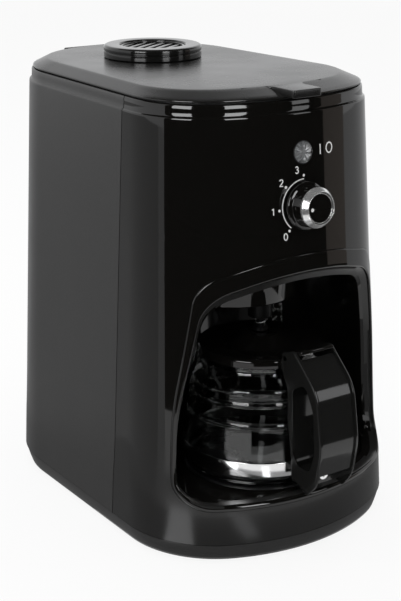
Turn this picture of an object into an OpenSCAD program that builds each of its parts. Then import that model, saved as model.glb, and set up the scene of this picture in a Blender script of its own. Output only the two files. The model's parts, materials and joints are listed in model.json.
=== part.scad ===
// Grind and brew coffee maker: drafted two-shell housing with an arched carafe bay, a hinged lid with a
// vented filler cap, a selector knob, a lit push button, a glass carafe and a blade grinder above the carafe.
// Millimetres, +Z up, the front faces -Y, the frame centre is under the middle of the footprint.

/* [Body outline] */
// Half width between the side lines at the front corners, at the collar step, beyond the opening at the sill
cheek = 3.3; // [2.5:0.1:5]
// How much narrower each side is at the rear corners than at the front corners, at the collar step
rear_in = 9.6; // [7.5:0.1:10]
// Distance from the frame centre to the front face, at the collar step
face_d = 98; // [97.5:0.25:100]
// Distance from the frame centre to the back face, at the collar step
back_d = 138.6; // [138:0.25:140]
// Outward draft of the sides from the step to the ground
draft_side = 10.7; // [9:0.1:12]
// Further outward draft of the sides at the rear corners
draft_rear = 6.1; // [4:0.1:8]
// Forward draft of the front face from the step to the ground
draft_front = 22; // [20:0.5:24]
// Rearward draft of the back face from the step to the ground
draft_back = 2.4; // [1:0.1:4]
// Front corner radius at the step
corner_r_top = 51.5; // [49:0.5:54]
// Front corner radius at the ground
corner_r_base = 64.9; // [62:0.5:67]
// Front face radius at the step
front_r_top = 142; // [130:1:160]
// Front face radius at the ground
front_r_base = 131; // [125:1:140]
// Rear corner radius at the step
rear_r_top = 62.8; // [60:0.5:65]
// Rear corner radius at the ground
rear_r_base = 68.3; // [65:0.5:70]
// Back face radius
back_r = 421; // [380:5:480]

/* [Foot flare] */
// Forward flare of the front face at its foot
flare_front = 3.3; // [0:0.1:4]
// Sideways flare of the front corners at the foot
flare_side = 1.2; // [0:0.1:2]
// Height where the flare is complete
flare_lo = 30; // [26:0.5:33]
// Height where the flare starts
flare_hi = 62.5; // [55:0.5:75]

/* [Shells] */
// Height of the collar step below the lid
step_z = 271; // [270:0.5:272]
// Height of the housing rim under the lid
rim_z = 278.5; // [278:0.25:279]
// Inset of the collar above the step
collar = 1.3; // [0.8:0.1:1.6]
// Wall thickness of the housing shells
wall = 2.4; // [2:0.1:2.6]
// Height of the lower edge of the housing shells
skirt_z = 12.5; // [12:0.25:13]
// Depth position of the vertical seam between the shells
seam_y = -30; // [-33:0.5:-28]
// Width of the seams between neighbouring mouldings
seam = 0.4; // [0.2:0.1:0.5]
// Inset of the base pan under the skirt
pan_in = 1.5; // [1:0.1:2]
// Inward taper of the base pan down to the floor
pan_taper = 2.2; // [1:0.1:3]
// Height of the rubber feet below the pan
foot_h = 1.5; // [1:0.1:2]

/* [Bay] */
// Height of the sill of the bay opening
sill_z = 38; // [37.5:0.1:38.2]
// Half width of the opening at the sill
arch_half = 80.2; // [78:0.2:81]
// Half width of the opening at its upper corners
arch_top_half = 64.5; // [63:0.25:66]
// Height of the upper corners of the opening
arch_corner_z = 166.5; // [165:0.25:168]
// Rise of the arched top edge above the upper corners
arch_rise = 16.5; // [14:0.25:18]
// Visible width of the surround beside the opening
rim_side = 2.6; // [2:0.1:3.2]
// Visible height of the surround above the opening
rim_top = 9; // [7:0.25:10]
// Visible height of the surround below the sill
rim_sill = 3.8; // [3:0.1:4.5]
// How far the surround stands proud of the front face
proud = 0.5; // [0.2:0.1:0.8]
// Depth of the surround behind the front face
reveal = 10; // [9:0.25:11]
// Height of the ceiling of the bay
ceiling_z = 180; // [179:0.5:181]
// Depth position of the back wall of the bay
bay_back = 12; // [11.8:0.1:13]

/* [Lid] */
// Height of the flat top of the lid
lid_z = 285; // [284.5:0.25:286]
// Width of the bevel at the sides
bevel_side = 8.3; // [7:0.25:10]
// Width of the bevel at the front
bevel_front = 14; // [12:0.5:16]
// Width of the bevel at the back
bevel_back = 7.8; // [7:0.2:9]
// Half width of the finger tab
tab_half = 10.7; // [9:0.1:12]
// Reach of the finger tab beyond the rim
tab_reach = 6; // [4:0.5:7]
// Radius of the hinge knuckles
knuckle_r = 2.4; // [2.2:0.1:2.5]
// Radius of the hinge pin
pin_r = 1.25; // [1:0.05:1.4]
// Radius of the vented cap
cap_r = 32.5; // [31:0.25:34]
// Height of the vented cap above the lid
cap_h = 8.4; // [7:0.2:9]
// Depth position of the vented cap
cap_y = 60; // [58:0.5:62]

/* [Controls] */
// Height of the selector knob
knob_z = 216; // [213:0.5:219]
// Radius of the knob skirt
knob_r = 14.4; // [13:0.2:15]
// Radius of the knob ring
ring_r = 12.1; // [11:0.1:12.6]
// How far the knob stands out
knob_h = 15.7; // [14:0.1:17]
// Radius of the printed scale
scale_r = 17; // [16.2:0.1:18]
// Angle between scale marks
scale_step = 46.7; // [44:0.1:48]
// Height of the push button
button_z = 247.5; // [246:0.25:249]
// Radius of the push button
button_r = 6.4; // [6:0.1:6.8]

/* [Brewing] */
// Depth position of the carafe and drip axis
carafe_y = -61; // [-62:0.25:-60]
// Depth position of the basket and grinder axis
basket_y = -32; // [-33:0.25:-31.5]
// Radius of the basket well at its rim
well_r = 44; // [43.5:0.1:44.2]
// Radius of the basket well at its lower end
well_r_low = 40; // [39.5:0.25:41]
// Height of the lower end of the basket well
well_z = 146; // [144:0.5:148]
// Radius of the warming plate
plate_r = 47.5; // [46.5:0.25:48]
// Half width of the water tank
tank_half = 50; // [46:0.5:51]
// Travel of the drip valve
valve_travel = 3.8; // [3:0.1:4]

/* [Carafe] */
// Radius of the jug at its clamp band
jug_r = 49; // [48:0.25:49.5]
// Height of the jug up to its rim
jug_h = 75.2; // [74:0.2:76]
// Thickness of the glass
glass_t = 2.2; // [1.8:0.1:2.6]
// Half width of the handle
grip_half = 15; // [14:0.25:16]
// Thickness of the side flanges of the handle
flange_t = 2; // [1.6:0.1:2.4]
// Reach of the handle from the carafe axis
grip_reach = 79; // [78:0.25:80]

/* [Hidden] */
$fn = 64;
n_front = 10;
n_corner = 10;
n_rear = 9;
n_back = 4;
run = 0.05;
free = 0.3;
front_half = arch_half + cheek;
rear_half = front_half - rear_in;
tilt = atan(draft_front / step_z);
lid_lo = rim_z + 0.8;
hinge_z = lid_lo + knuckle_r - 0.4;
hinge_y = back_d - 0.1;
ear_in = 15;
ear_out = 22;
pan_top = skirt_z - seam;
floor_z = foot_h + 2.5;
deck_t = 3;
deck_z = sill_z - deck_t;
plate_z = sill_z + 0.5;
jug_z = plate_z + free;
jug_top = jug_z + jug_h;
plug_r = jug_r - glass_t - 11.8;
dome_z = jug_top + 12.5;
lid_r = jug_r - 9;
cup_z = dome_z + 0.7;
top_z = 261;
top_t = 3;
flange_z = top_z + top_t + 0.2;
well_floor = 188;
guide_r = 7.8;
basket_z = well_floor + 9;
basket_r = well_r - 2.5;
liner_e = reveal + 2.4;
tank_y0 = 30;
tank_y1 = 114;
tank_z = 190;
riser_x = 15;
riser_y = 21.5;
tube_z = plate_z - 8.2;
tube_r = 5.6;
hose_r = 3.5;
board_y = back_d - 92.6;
gland_z = 32;
gland_bore = 3.6;
boss_front = [58, -72];
boss_rear = [62, 84];
scale_angles = [for (i = [0 : 3]) 90 + i * scale_step];

// Plane geometry

function unit(v) = v / norm(v);
function mix(a, b, k) = a + (b - a) * k;
function tail(l) = [for (i = [1 : len(l) - 1]) l[i]];
function init(l) = [for (i = [0 : len(l) - 2]) l[i]];
function last(l) = l[len(l) - 1];
function mirrored(l) = [for (i = [len(l) - 1 : -1 : 0]) [-l[i][0], l[i][1]]];
function lift(l, z) = [for (p = l) [p[0], p[1], z]];
function arc(c, r, a0, a1, n) = [for (i = [0 : n]) c + r * [cos(mix(a0, a1, i / n)),
    sin(mix(a0, a1, i / n))]];

// Arc of radius r that rounds the corner at b between a and c
function round_corner(a, b, c, r, n) =
    let (u = unit(a - b), v = unit(c - b), h = acos(u * v) / 2)
    let (o = b + unit(u + v) * r / sin(h), s = b + u * r / tan(h) - o, e = b + v * r / tan(h) - o)
    let (a0 = atan2(s[1], s[0]), turn = (atan2(e[1], e[0]) - a0 + 540) % 360 - 180)
    arc(o, r, a0, a0 + turn, n);

// Polygon with rounded corners, from rows of x, y and corner radius
function rounded(p, n = 5) =
    [for (i = [0 : len(p) - 1])
        let (a = p[(i + len(p) - 1) % len(p)], b = p[i], c = p[(i + 1) % len(p)])
        each round_corner([a[0], a[1]], [b[0], b[1]], [c[0], c[1]], b[2], n)];

// The same rows moved inwards by d on an anticlockwise polygon
function inset(p, d) =
    [for (i = [0 : len(p) - 1])
        let (a = p[(i + len(p) - 1) % len(p)], b = p[i], c = p[(i + 1) % len(p)])
        let (u = unit([b[0] - a[0], b[1] - a[1]]), v = unit([c[0] - b[0], c[1] - b[1]]))
        let (m = [-u[1], u[0]], k = [-v[1], v[0]], s = sign(u[0] * v[1] - u[1] * v[0]))
        let (w = (m + k) / (1 + m * k) * d)
        [b[0] + w[0], b[1] + w[1], max(0.3, b[2] - s * d)]];

// Body outline

function drop(z) = (step_z - z) / step_z;
function flare(z) = let (t = min(1, max(0, (flare_hi - z) / (flare_hi - flare_lo)))) t * t * (3 - 2 * t);
function face_y(z) = -(face_d + draft_front * drop(z) + flare_front * flare(z));
function back_y(z) = back_d + draft_back * drop(z);

// Right half of the outline at height z and inset e: front arc, corner arc, rear corner arc, back arc
function half_plan(z, e, ef, eb) =
    let (k = drop(z), rr = mix(rear_r_top, rear_r_base, k) - e / 2, rb = back_r - e)
    let (rc = mix(corner_r_top, corner_r_base, k) - e / 2, rf = mix(front_r_top, front_r_base, k) - e)
    let (wb = rear_half + (draft_side + draft_rear) * k - e, yb = back_y(z) - (is_undef(eb) ? e : eb))
    let (wf = front_half + draft_side * k + flare_side * flare(z) - e,
        yf = face_y(z) + (is_undef(ef) ? e : ef))
    let (d = unit([wf - wb, yf - yb]), n = [-d[1], d[0]], cf = [0, yf + rf], cb = [0, yb - rb])
    let (p = [wb, yb] - n * rc, q = p - cf,
        cc = p + (sqrt(pow(q * d, 2) - q * q + pow(rf - rc, 2)) - q * d) * d)
    let (s = [wb, yb] - n * rr, t = s - cb,
        cr = s - (sqrt(pow(t * d, 2) - t * t + pow(rb - rr, 2)) + t * d) * d)
    let (a1 = atan2(cc[1] - cf[1], cc[0] - cf[0]), a2 = atan2(n[1], n[0]),
        a3 = atan2(cr[1] - cb[1], cr[0] - cb[0]))
    [arc(cf, rf, -90, a1, n_front), arc(cc, rc, a1, a2, n_corner), arc(cr, rr, a2, a3, n_rear),
        arc(cb, rb, a3, 90, n_back)];

// Point of the straight side at depth y
function side_at(h, y) = let (a = last(h[1]), b = h[2][0]) a + (b - a) * (y - a[1]) / (b[1] - a[1]);

function front_row(z, e) =
    let (h = half_plan(z, e), f = concat(h[0], tail(h[1]), [side_at(h, seam_y - seam / 2)]))
    lift(concat(mirrored(tail(f)), f), z);

function rear_row(z, e) =
    let (h = half_plan(z, e), r = concat([side_at(h, seam_y + seam / 2)], h[2], tail(h[3])))
    lift(concat(r, mirrored(init(r))), z);

function ring_plan(z, e, ef, eb) =
    let (h = half_plan(z, e, ef, eb), f = concat(h[0], tail(h[1]), h[2], tail(h[3])))
    concat(f, mirrored(init(tail(f))));

function ring_row(z, e, ef, eb, at) = lift(ring_plan(z, e, ef, eb), is_undef(at) ? z : at);

// Plan of the bay: the body outline up to the front, and a back wall with rounded corners
function bay_half(z, e) =
    let (h = half_plan(z, e), r = 30, s = side_at(h, bay_back - r))
    concat(h[0], tail(h[1]), arc([s[0] - r, s[1]], r, 0, 90, 6));
function bay_plan(z, e) = let (b = bay_half(z, e)) concat(b, mirrored(tail(b)));

// Side and back walls of the bay, from the right front edge round to the left one
function bay_row(z, e, grow) =
    let (h = half_plan(z, e), r = 30 + grow, s = side_at(h, bay_back - 30))
    let (c = [for (i = [n_corner / 2 : n_corner]) h[1][i]],
        w = concat(c, arc([s[0] - r, s[1]], r, 0, 90, 6)))
    lift(concat(w, mirrored(w)), z);

// Solids from rows of points

function side_faces(n, m, at, flip, closed) =
    [for (j = [0 : m - 2], i = [0 : n - (closed ? 1 : 2)])
        let (a = at + j * n + i, b = at + j * n + (i + 1) % n)
        flip ? [a, b, b + n, a + n] : [a, a + n, b + n, b]];

// Solid between two caps, through closed rows
module loft(rows) {
    n = len(rows[0]);
    m = len(rows);
    polyhedron([for (r = rows) each r], concat(side_faces(n, m, 0, false, true),
        [[for (i = [0 : n - 1]) i], [for (i = [n - 1 : -1 : 0]) (m - 1) * n + i]]), convexity = 4);
}

// Open wall between outer rows and inner rows
module thick(outer, inner) {
    n = len(outer[0]);
    m = len(outer);
    k = n * m;
    t = k - n;
    polyhedron([for (r = concat(outer, inner)) each r],
        concat(side_faces(n, m, 0, false, false), side_faces(n, m, k, true, false),
        [for (i = [0 : n - 2]) [i, i + 1, k + i + 1, k + i]],
        [for (i = [0 : n - 2]) [t + i + 1, t + i, k + t + i, k + t + i + 1]],
        [for (j = [0 : m - 2]) [(j + 1) * n, j * n, k + j * n, k + (j + 1) * n]],
        [for (j = [0 : m - 2]) let (b = n - 1 + j * n) [b, b + n, k + b + n, k + b]]), convexity = 8);
}

// Helical wire of radius w, coil radius r, from height 0 to h
module coil(r, w, h, turns) {
    steps = turns * 14;
    n = 6;
    rows = [for (i = [0 : steps]) let (a = 360 * turns * i / steps)
        [for (j = [0 : n - 1]) let (q = r + w * cos(60 * j)) [q * cos(a), q * sin(a),
            mix(w, h - w, i / steps) + w * sin(60 * j)]]];
    polyhedron([for (s = rows) each s], concat(side_faces(n, steps + 1, 0, true, true),
        [[for (j = [n - 1 : -1 : 0]) j], [for (j = [0 : n - 1]) steps * n + j]]), convexity = 8);
}

// Extrusions along the depth and along the width
module along_y(y0, y1) {
    translate([0, y1, 0])
        rotate([90, 0, 0])
            linear_extrude(y1 - y0)
                children();
}

module along_x(x0, x1) {
    translate([x0, 0, 0])
        rotate([90, 0, 90])
            linear_extrude(x1 - x0)
                children();
}

// Local frame on the front face at height z: local Z points out of the panel, local Y up along it
module on_panel(z) {
    translate([0, face_y(z), z])
        rotate([90 - tilt, 0, 0])
            children();
}

module rod_x(y, z, r, x0, x1) {
    translate([x0, y, z])
        rotate([0, 90, 0])
            cylinder(r = r, h = x1 - x0);
}

module rod_y(x, z, r, y0, y1) {
    translate([x, y0, z])
        rotate([-90, 0, 0])
            cylinder(r = r, h = y1 - y0);
}

module tube(r1, r0, z0, z1) {
    translate([0, 0, z0])
        difference() {
            cylinder(r = r1, h = z1 - z0);
            translate([0, 0, -1])
                cylinder(r = r0, h = z1 - z0 + 2);
        }
}

module four(p, q) {
    for (s = [-1, 1]) {
        translate([s * p[0], p[1], 0])
            children();
        translate([s * q[0], q[1], 0])
            children();
    }
}

// Bay opening in front view: opening edge and outer edge of the surround
arch_in = [[-arch_half, sill_z, 13], [arch_half, sill_z, 13], [arch_half - 3.3, sill_z + 57, 300],
    [arch_top_half, arch_corner_z, 20], [0, arch_corner_z + arch_rise, 165],
    [-arch_top_half, arch_corner_z, 20], [-arch_half + 3.3, sill_z + 57, 300]];
arch_out = [[-arch_half - rim_side, sill_z - rim_sill, 15], [arch_half + rim_side, sill_z - rim_sill, 15],
    [arch_half - 3.3 + rim_side, sill_z + 58, 300], [arch_top_half + 2, arch_corner_z + rim_top, 17],
    [0, arch_corner_z + arch_rise + rim_top - 0.2, 175], [-arch_top_half - 2, arch_corner_z + rim_top, 17],
    [-arch_half + 3.3 - rim_side, sill_z + 58, 300]];

front_levels = [[skirt_z, 0], [flare_lo, 0], [mix(flare_lo, flare_hi, 0.25), 0],
    [mix(flare_lo, flare_hi, 0.5), 0], [mix(flare_lo, flare_hi, 0.75), 0], [flare_hi, 0], [step_z, 0],
    [step_z + 0.4, collar], [rim_z, collar]];
rear_levels = [[skirt_z, 0], [step_z, 0], [step_z + 0.4, collar], [rim_z, collar]];
face_levels = [24, flare_lo, mix(flare_lo, flare_hi, 0.25), mix(flare_lo, flare_hi, 0.5),
    mix(flare_lo, flare_hi, 0.75), flare_hi, 200];

// Base

module base_pan() {
    color([0.07, 0.07, 0.07])
        difference() {
            union() {
                difference() {
                    loft([ring_row(foot_h, pan_in + pan_taper), ring_row(pan_top, pan_in)]);
                    loft([ring_row(floor_z, pan_in + pan_taper + wall),
                        ring_row(skirt_z + 3, pan_in + wall)]);
                }
                four([34, board_y + 8], [34, board_y + 60])
                    translate([0, 0, floor_z - 1])
                        cylinder(r = 3, h = 13);
            }
            four([66, -62], [62, 60])
                translate([0, 0, -1])
                    cylinder(r = 8.2, h = foot_h + 2);
            four(boss_front, boss_rear) {
                cylinder(r = 3.6, h = foot_h + 1.2);
                cylinder(r = 2, h = floor_z + 1);
            }
        }
}

module rubber_feet() {
    color([0.05, 0.05, 0.05])
        four([66, -62], [62, 60])
            cylinder(r1 = 7.2, r2 = 8, h = foot_h + 0.9);
}

module base_screws() {
    color([0.6, 0.6, 0.6])
        four(boss_front, boss_rear)
            translate([0, 0, foot_h + 0.1]) {
                cylinder(r = 3.2, h = 1);
                cylinder(r = 1.6, h = 16);
            }
}

module cord_gland() {
    y = back_y(gland_z) - wall;
    color([0.05, 0.05, 0.05])
        translate([0, y - 2.3, gland_z])
            rotate([-90, 0, 0])
                rotate_extrude()
                    polygon([[gland_bore, -7.6], [5.4, -7.6], [5.8, 0], [8.5, 0], [8.5, 2.2], [6.8, 2.2],
                        [6.8, 4.4], [gland_bore, 4.4]]);
}

// Housing

module rear_housing() {
    x = boss_rear[0];
    y = boss_rear[1];
    rib = side_at(half_plan(20, wall / 2 + 1.5), y)[0];
    color([0.06, 0.06, 0.06])
        difference() {
            union() {
                thick([for (l = rear_levels) rear_row(l[0], l[1])],
                    [for (l = rear_levels) rear_row(l[0], l[1] + wall)]);
                for (s = [-1, 1]) {
                    translate([s * x, y, floor_z + 0.1])
                        cylinder(r = 4.5, h = 30);
                    translate([s > 0 ? x + 3 : -rib, y - 1.2, skirt_z + 4])
                        cube([rib - x - 3, 2.4, 14]);
                    translate([s > 0 ? ear_in : -ear_out, back_d - 5, step_z - 2])
                        cube([ear_out - ear_in, 5 + knuckle_r - 0.1, hinge_z - step_z + 2]);
                    rod_x(hinge_y, hinge_z, knuckle_r, s > 0 ? ear_in : -ear_out,
                        s > 0 ? ear_out : -ear_in);
                }
            }
            rod_y(0, gland_z, 7, 100, 160);
            rod_x(hinge_y, hinge_z, pin_r + run, -60, 60);
            for (s = [-1, 1])
                translate([s * x, y, 0])
                    cylinder(r = 1.75, h = 22);
        }
}

module front_housing() {
    color([0.03, 0.03, 0.03])
        difference() {
            thick([for (l = front_levels) front_row(l[0], l[1])],
                [for (l = front_levels) front_row(l[0], l[1] + wall)]);
            along_y(-160, -40)
                polygon(rounded(inset(arch_out, -0.15)));
            on_panel(knob_z)
                translate([0, 0, -9])
                    cylinder(r = 5.2, h = 18);
            on_panel(button_z)
                translate([0, 0, -9])
                    cylinder(r = button_r + 0.35, h = 18);
        }
}

// Printed scale on the panel: an arc and its marks
module dial_print() {
    color([0.9, 0.9, 0.9])
        intersection() {
            thick([for (z = [190, 240]) front_row(z, -0.16)], [for (z = [190, 240]) front_row(z, -0.02)]);
            on_panel(knob_z)
                translate([0, 0, -6])
                    union() {
                        rotate([0, 0, scale_angles[0]])
                            rotate_extrude(angle = 3 * scale_step)
                                translate([scale_r - 0.4, 0])
                                    square([0.8, 12]);
                        for (a = scale_angles)
                            rotate([0, 0, a])
                                translate([scale_r, 0, 0])
                                    cylinder(r = 1.5, h = 12);
                    }
        }
}

module bay_surround() {
    color([0.03, 0.03, 0.03])
        intersection() {
            thick([for (z = face_levels) front_row(z, -proud)],
                [for (z = face_levels) front_row(z, reveal)]);
            along_y(-160, -40)
                difference() {
                    polygon(rounded(arch_out));
                    polygon(rounded(arch_in));
                }
        }
}

module bay_liner() {
    lo = sill_z + 0.2;
    color([0.03, 0.03, 0.03])
        union() {
            thick([for (z = [lo, flare_hi, ceiling_z + 1]) bay_row(z, liner_e - 2, 2)],
                [for (z = [lo, flare_hi, ceiling_z + 1]) bay_row(z, liner_e, 0)]);
            translate([0, 0, ceiling_z])
                linear_extrude(2)
                    difference() {
                        polygon(bay_plan(ceiling_z, liner_e - 0.5));
                        translate([0, basket_y])
                            circle(r = well_r - 0.6);
                    }
        }
}

module deck_plate() {
    color([0.03, 0.03, 0.03])
        difference() {
            union() {
                translate([0, 0, deck_z])
                    linear_extrude(deck_t)
                        polygon(bay_plan(sill_z, reveal + seam));
                for (s = [-1, 1])
                    translate([s * boss_front[0], boss_front[1], floor_z + 0.1])
                        cylinder(r = 4.5, h = deck_z - floor_z + 0.9);
            }
            translate([0, carafe_y, 0])
                cylinder(r = plate_r - 1.5, h = 100);
            translate([0, carafe_y, sill_z - 1.5])
                cylinder(r = plate_r + 1.2, h = 100);
            for (s = [-1, 1])
                translate([s * boss_front[0], boss_front[1], 0])
                    cylinder(r = 1.75, h = 22);
        }
}

// Heater

module warming_plate() {
    color([0.06, 0.06, 0.06])
        translate([0, carafe_y, 0])
            rotate_extrude()
                polygon([[0, plate_z - 2], [plate_r - 2.2, plate_z - 2], [plate_r - 2.2, plate_z - 3.6],
                    [plate_r - 1.8, plate_z - 3.6],
                    [plate_r - 1.8, plate_z - 1.4], [plate_r, plate_z - 1.4], [plate_r, plate_z - 0.6],
                    [plate_r - 0.8, plate_z], [plate_r - 3, plate_z], [plate_r - 4, plate_z - 0.4],
                    [0, plate_z - 0.4]]);
}

module plate_seal() {
    color([0.1, 0.1, 0.1])
        translate([0, carafe_y, 0])
            tube(plate_r + 1, plate_r - 1.4, sill_z - 1.45, plate_z - 1.45);
}

module heating_tube() {
    color([0.6, 0.6, 0.62])
        translate([0, carafe_y, tube_z]) {
            rotate([0, 0, 120])
                rotate_extrude(angle = 300)
                    translate([30, 0])
                        circle(r = tube_r);
            for (s = [-1, 1])
                rod_y(s * riser_x, 0, 4.2, 25, 50);
        }
}

module thermostat() {
    color([0.7, 0.68, 0.6])
        translate([0, carafe_y, 0]) {
            translate([0, 0, plate_z - 10])
                cylinder(r = 9, h = 7.9);
            translate([-2, -13, plate_z - 9])
                cube([4, 26, 1.5]);
        }
}

// Water path

function tank_plan(g) = [[-tank_half - g, tank_y0 - g, 12 + g], [tank_half + g, tank_y0 - g, 12 + g],
    [tank_half + g, tank_y1 + g, 28 + g], [-tank_half - g, tank_y1 + g, 28 + g]];

module water_tank() {
    color([0.75, 0.75, 0.75])
        difference() {
            union() {
                translate([0, 0, tank_z])
                    linear_extrude(flange_z - tank_z + 2)
                        polygon(rounded(tank_plan(0)));
                translate([0, 0, flange_z])
                    linear_extrude(2)
                        polygon(rounded(tank_plan(4)));
            }
            translate([0, 0, tank_z + 2])
                linear_extrude(100)
                    polygon(rounded(tank_plan(-2)));
            translate([-30, 42, tank_z - 1])
                cylinder(r = 3, h = 10);
        }
}

module check_valve() {
    color([0.8, 0.8, 0.78])
        translate([-30, 42, 0]) {
            tube(7, 2.8, tank_z - 14, tank_z);
            tube(2.8, 1.8, tank_z - 1, tank_z + 4);
        }
}

// Hose down from the tank, under the deck to the heater
module inlet_hose() {
    z1 = tank_z - 14;
    b = 12;
    color([0.8, 0.8, 0.8])
        difference() {
            union() {
                translate([-30, 42, tube_z + b])
                    cylinder(r = hose_r + 0.8, h = z1 - tube_z - b);
                translate([-30, 42 - b, tube_z + b])
                    rotate([90, 0, 90])
                        rotate([0, 0, -90])
                            rotate_extrude(angle = 90)
                                translate([b, 0])
                                    circle(r = hose_r + 0.8);
                rod_y(-30, tube_z, hose_r + 0.8, -6, 42 - b);
                rod_x(-6, tube_z, hose_r + 0.8, -30, -riser_x - 4.5);
                translate([-30, -6, tube_z])
                    sphere(r = hose_r + 0.8);
            }
            translate([-30, 42, tube_z + b + 4])
                cylinder(r = hose_r - 1, h = 200);
        }
}

module riser_tube() {
    b = 12;
    y0 = carafe_y + 50.1;
    color([0.75, 0.75, 0.75])
        difference() {
            union() {
                rod_y(riser_x, tube_z, hose_r, y0, riser_y - b);
                translate([riser_x, riser_y - b, tube_z + b])
                    rotate([90, 0, 90])
                        rotate([0, 0, -90])
                            rotate_extrude(angle = 90)
                                translate([b, 0])
                                    circle(r = hose_r);
                translate([riser_x, riser_y, tube_z + b])
                    cylinder(r = hose_r, h = flange_z + 2.6 - tube_z - b);
            }
            translate([riser_x, riser_y, tube_z + b + 4])
                cylinder(r = hose_r - 1, h = 300);
        }
}

module top_deck() {
    color([0.05, 0.05, 0.05])
        difference() {
            translate([0, 0, top_z])
                linear_extrude(top_t)
                    polygon(ring_plan(top_z, wall + seam));
            translate([0, 0, top_z - 1])
                linear_extrude(10)
                    polygon(rounded(tank_plan(0.4)));
            translate([0, basket_y, top_z - 1])
                cylinder(r = well_r + 0.4, h = 10);
            translate([riser_x, riser_y, top_z - 1])
                cylinder(r = hose_r + 0.4, h = 10);
        }
}

// Basket and drip valve

module basket_well() {
    color([0.03, 0.03, 0.03])
        translate([0, basket_y, 0])
            difference() {
                union() {
                    rotate_extrude()
                        polygon([[0, well_floor - 2], [well_r_low - 2, well_floor - 2],
                            [well_r_low - 2, well_z], [well_r_low, well_z], [well_r - 1.4, ceiling_z + 2],
                            [well_r, ceiling_z + 20], [well_r, flange_z], [well_r + 3.5, flange_z],
                            [well_r + 3.5, flange_z + 1.4], [well_r - 2, flange_z + 1.4],
                            [well_r - 2, well_floor], [0, well_floor]]);
                    translate([0, carafe_y - basket_y, well_z - 10])
                        cylinder(r = guide_r, h = well_floor - well_z + 9);
                }
                cylinder(r = 3.2, h = 300);
                translate([0, carafe_y - basket_y, 0]) {
                    translate([0, 0, well_z + 4])
                        cylinder(r = 6, h = 100);
                    cylinder(r = 2.8, h = 300);
                    translate([0, 0, 100])
                        cylinder(r = 6.2, h = well_z - 98);
                    for (a = [0 : 120 : 240])
                        rotate([0, 0, a])
                            translate([4.4, 0, 0])
                                cylinder(r = 1.3, h = 300);
                }
            }
}

module motor_cover() {
    color([0.03, 0.03, 0.03])
        translate([0, basket_y, 0])
            difference() {
                translate([0, 0, well_z + 0.2])
                    cylinder(r = well_r_low - 2.2, h = 2);
                translate([0, carafe_y - basket_y, 0])
                    cylinder(r = guide_r + free, h = 300);
            }
}

module brew_basket() {
    top = flange_z + 3;
    color([0.08, 0.08, 0.08])
        translate([0, basket_y, 0])
            difference() {
                rotate_extrude()
                    polygon([[3.2, basket_z], [basket_r - 3, basket_z], [basket_r - 1, basket_z + 2],
                        [basket_r, flange_z + 1.6], [basket_r + 4, flange_z + 1.6], [basket_r + 4, top],
                        [basket_r - 1.8, top], [basket_r - 2.8, basket_z + 3],
                        [basket_r - 4, basket_z + 2], [7, basket_z + 2], [7, basket_z + 5],
                        [3.2, basket_z + 5]]);
                for (a = [0 : 45 : 315])
                    rotate([0, 0, a])
                        translate([25, 0, basket_z - 1])
                            cylinder(r = 6.5, h = 4);
            }
}

module filter_screen() {
    color([0.75, 0.75, 0.75])
        translate([0, basket_y, basket_z + 2])
            difference() {
                tube(basket_r - 4.6, 7.6, 0.05, 0.65);
                for (k = [0 : 1], a = [0 : 15 : 345])
                    rotate([0, 0, a + 7.5 * k])
                        translate([20 + 9 * k, 0, -1])
                            cylinder(r = 0.9, h = 3);
            }
}

// Spring-loaded plunger that the carafe lid holds up
module drip_valve() {
    color([0.08, 0.08, 0.08])
        translate([0, carafe_y, 0]) {
            translate([0, 0, cup_z])
                cylinder(r = 5, h = 2.4);
            translate([0, 0, cup_z + 1])
                cylinder(r = 2.4, h = well_floor + valve_travel + 2 - cup_z);
            translate([0, 0, well_floor + valve_travel + 0.9])
                cylinder(r = 7.6, h = 2);
        }
}

module valve_seal() {
    color([0.35, 0.1, 0.05])
        translate([0, carafe_y, well_floor + valve_travel])
            tube(7.6, 2.45, 0.3, 0.85);
}

module valve_spring() {
    z0 = cup_z + 2.45;
    color([0.75, 0.75, 0.77])
        translate([0, carafe_y, z0])
            coil(3.7, 0.4, well_z + 1.9 - z0, 5);
}

// Grinder

module grinder_motor() {
    color([0.55, 0.55, 0.57])
        translate([0, basket_y, 0])
            difference() {
                union() {
                    translate([0, 0, well_z + 2.3])
                        cylinder(r = 16.5, h = well_floor - well_z - 6.4);
                    translate([0, 0, well_floor - 4.2])
                        cylinder(r = 8, h = 2.1);
                }
                translate([0, 0, well_z + 5])
                    cylinder(r = 2.1 + run, h = 100);
            }
}

module motor_pad() {
    color([0.1, 0.1, 0.1])
        translate([0, basket_y, 0])
            tube(16, 8.3, well_floor - 4.05, well_floor - 2.05);
}

module motor_shaft() {
    color([0.7, 0.7, 0.7])
        translate([0, basket_y, well_z + 6])
            cylinder(r = 2.1, h = basket_z + 11 - well_z - 6);
}

module shaft_seal() {
    color([0.1, 0.1, 0.1])
        translate([0, basket_y, 0])
            rotate_extrude()
                polygon([[2.1 + run, well_floor - 2], [3.1, well_floor - 2], [3.1, well_floor + 0.1],
                    [5.5, well_floor + 0.1], [5.5, well_floor + 1.5], [2.1 + run, well_floor + 4]]);
}

module grinder_blade() {
    z = basket_z + 6;
    color([0.8, 0.8, 0.8])
        translate([0, basket_y, z])
            difference() {
                union() {
                    cylinder(r = 4.6, h = 4.6);
                    for (a = [0, 180])
                        rotate([0, 0, a])
                            translate([0, 0, 2])
                                rotate([8, 0, 0])
                                    linear_extrude(1.2)
                                        polygon([[0, -3.6], [24, -3], [28, 1], [22, 3.6], [0, 3.6]]);
                }
                translate([0, 0, -1])
                    cylinder(r = 2.12, h = 7);
            }
}

// Electrics

module control_board() {
    color([0.1, 0.3, 0.15])
        translate([-40, board_y, floor_z + 12.1])
            cube([80, 68, 1.6]);
}

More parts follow.
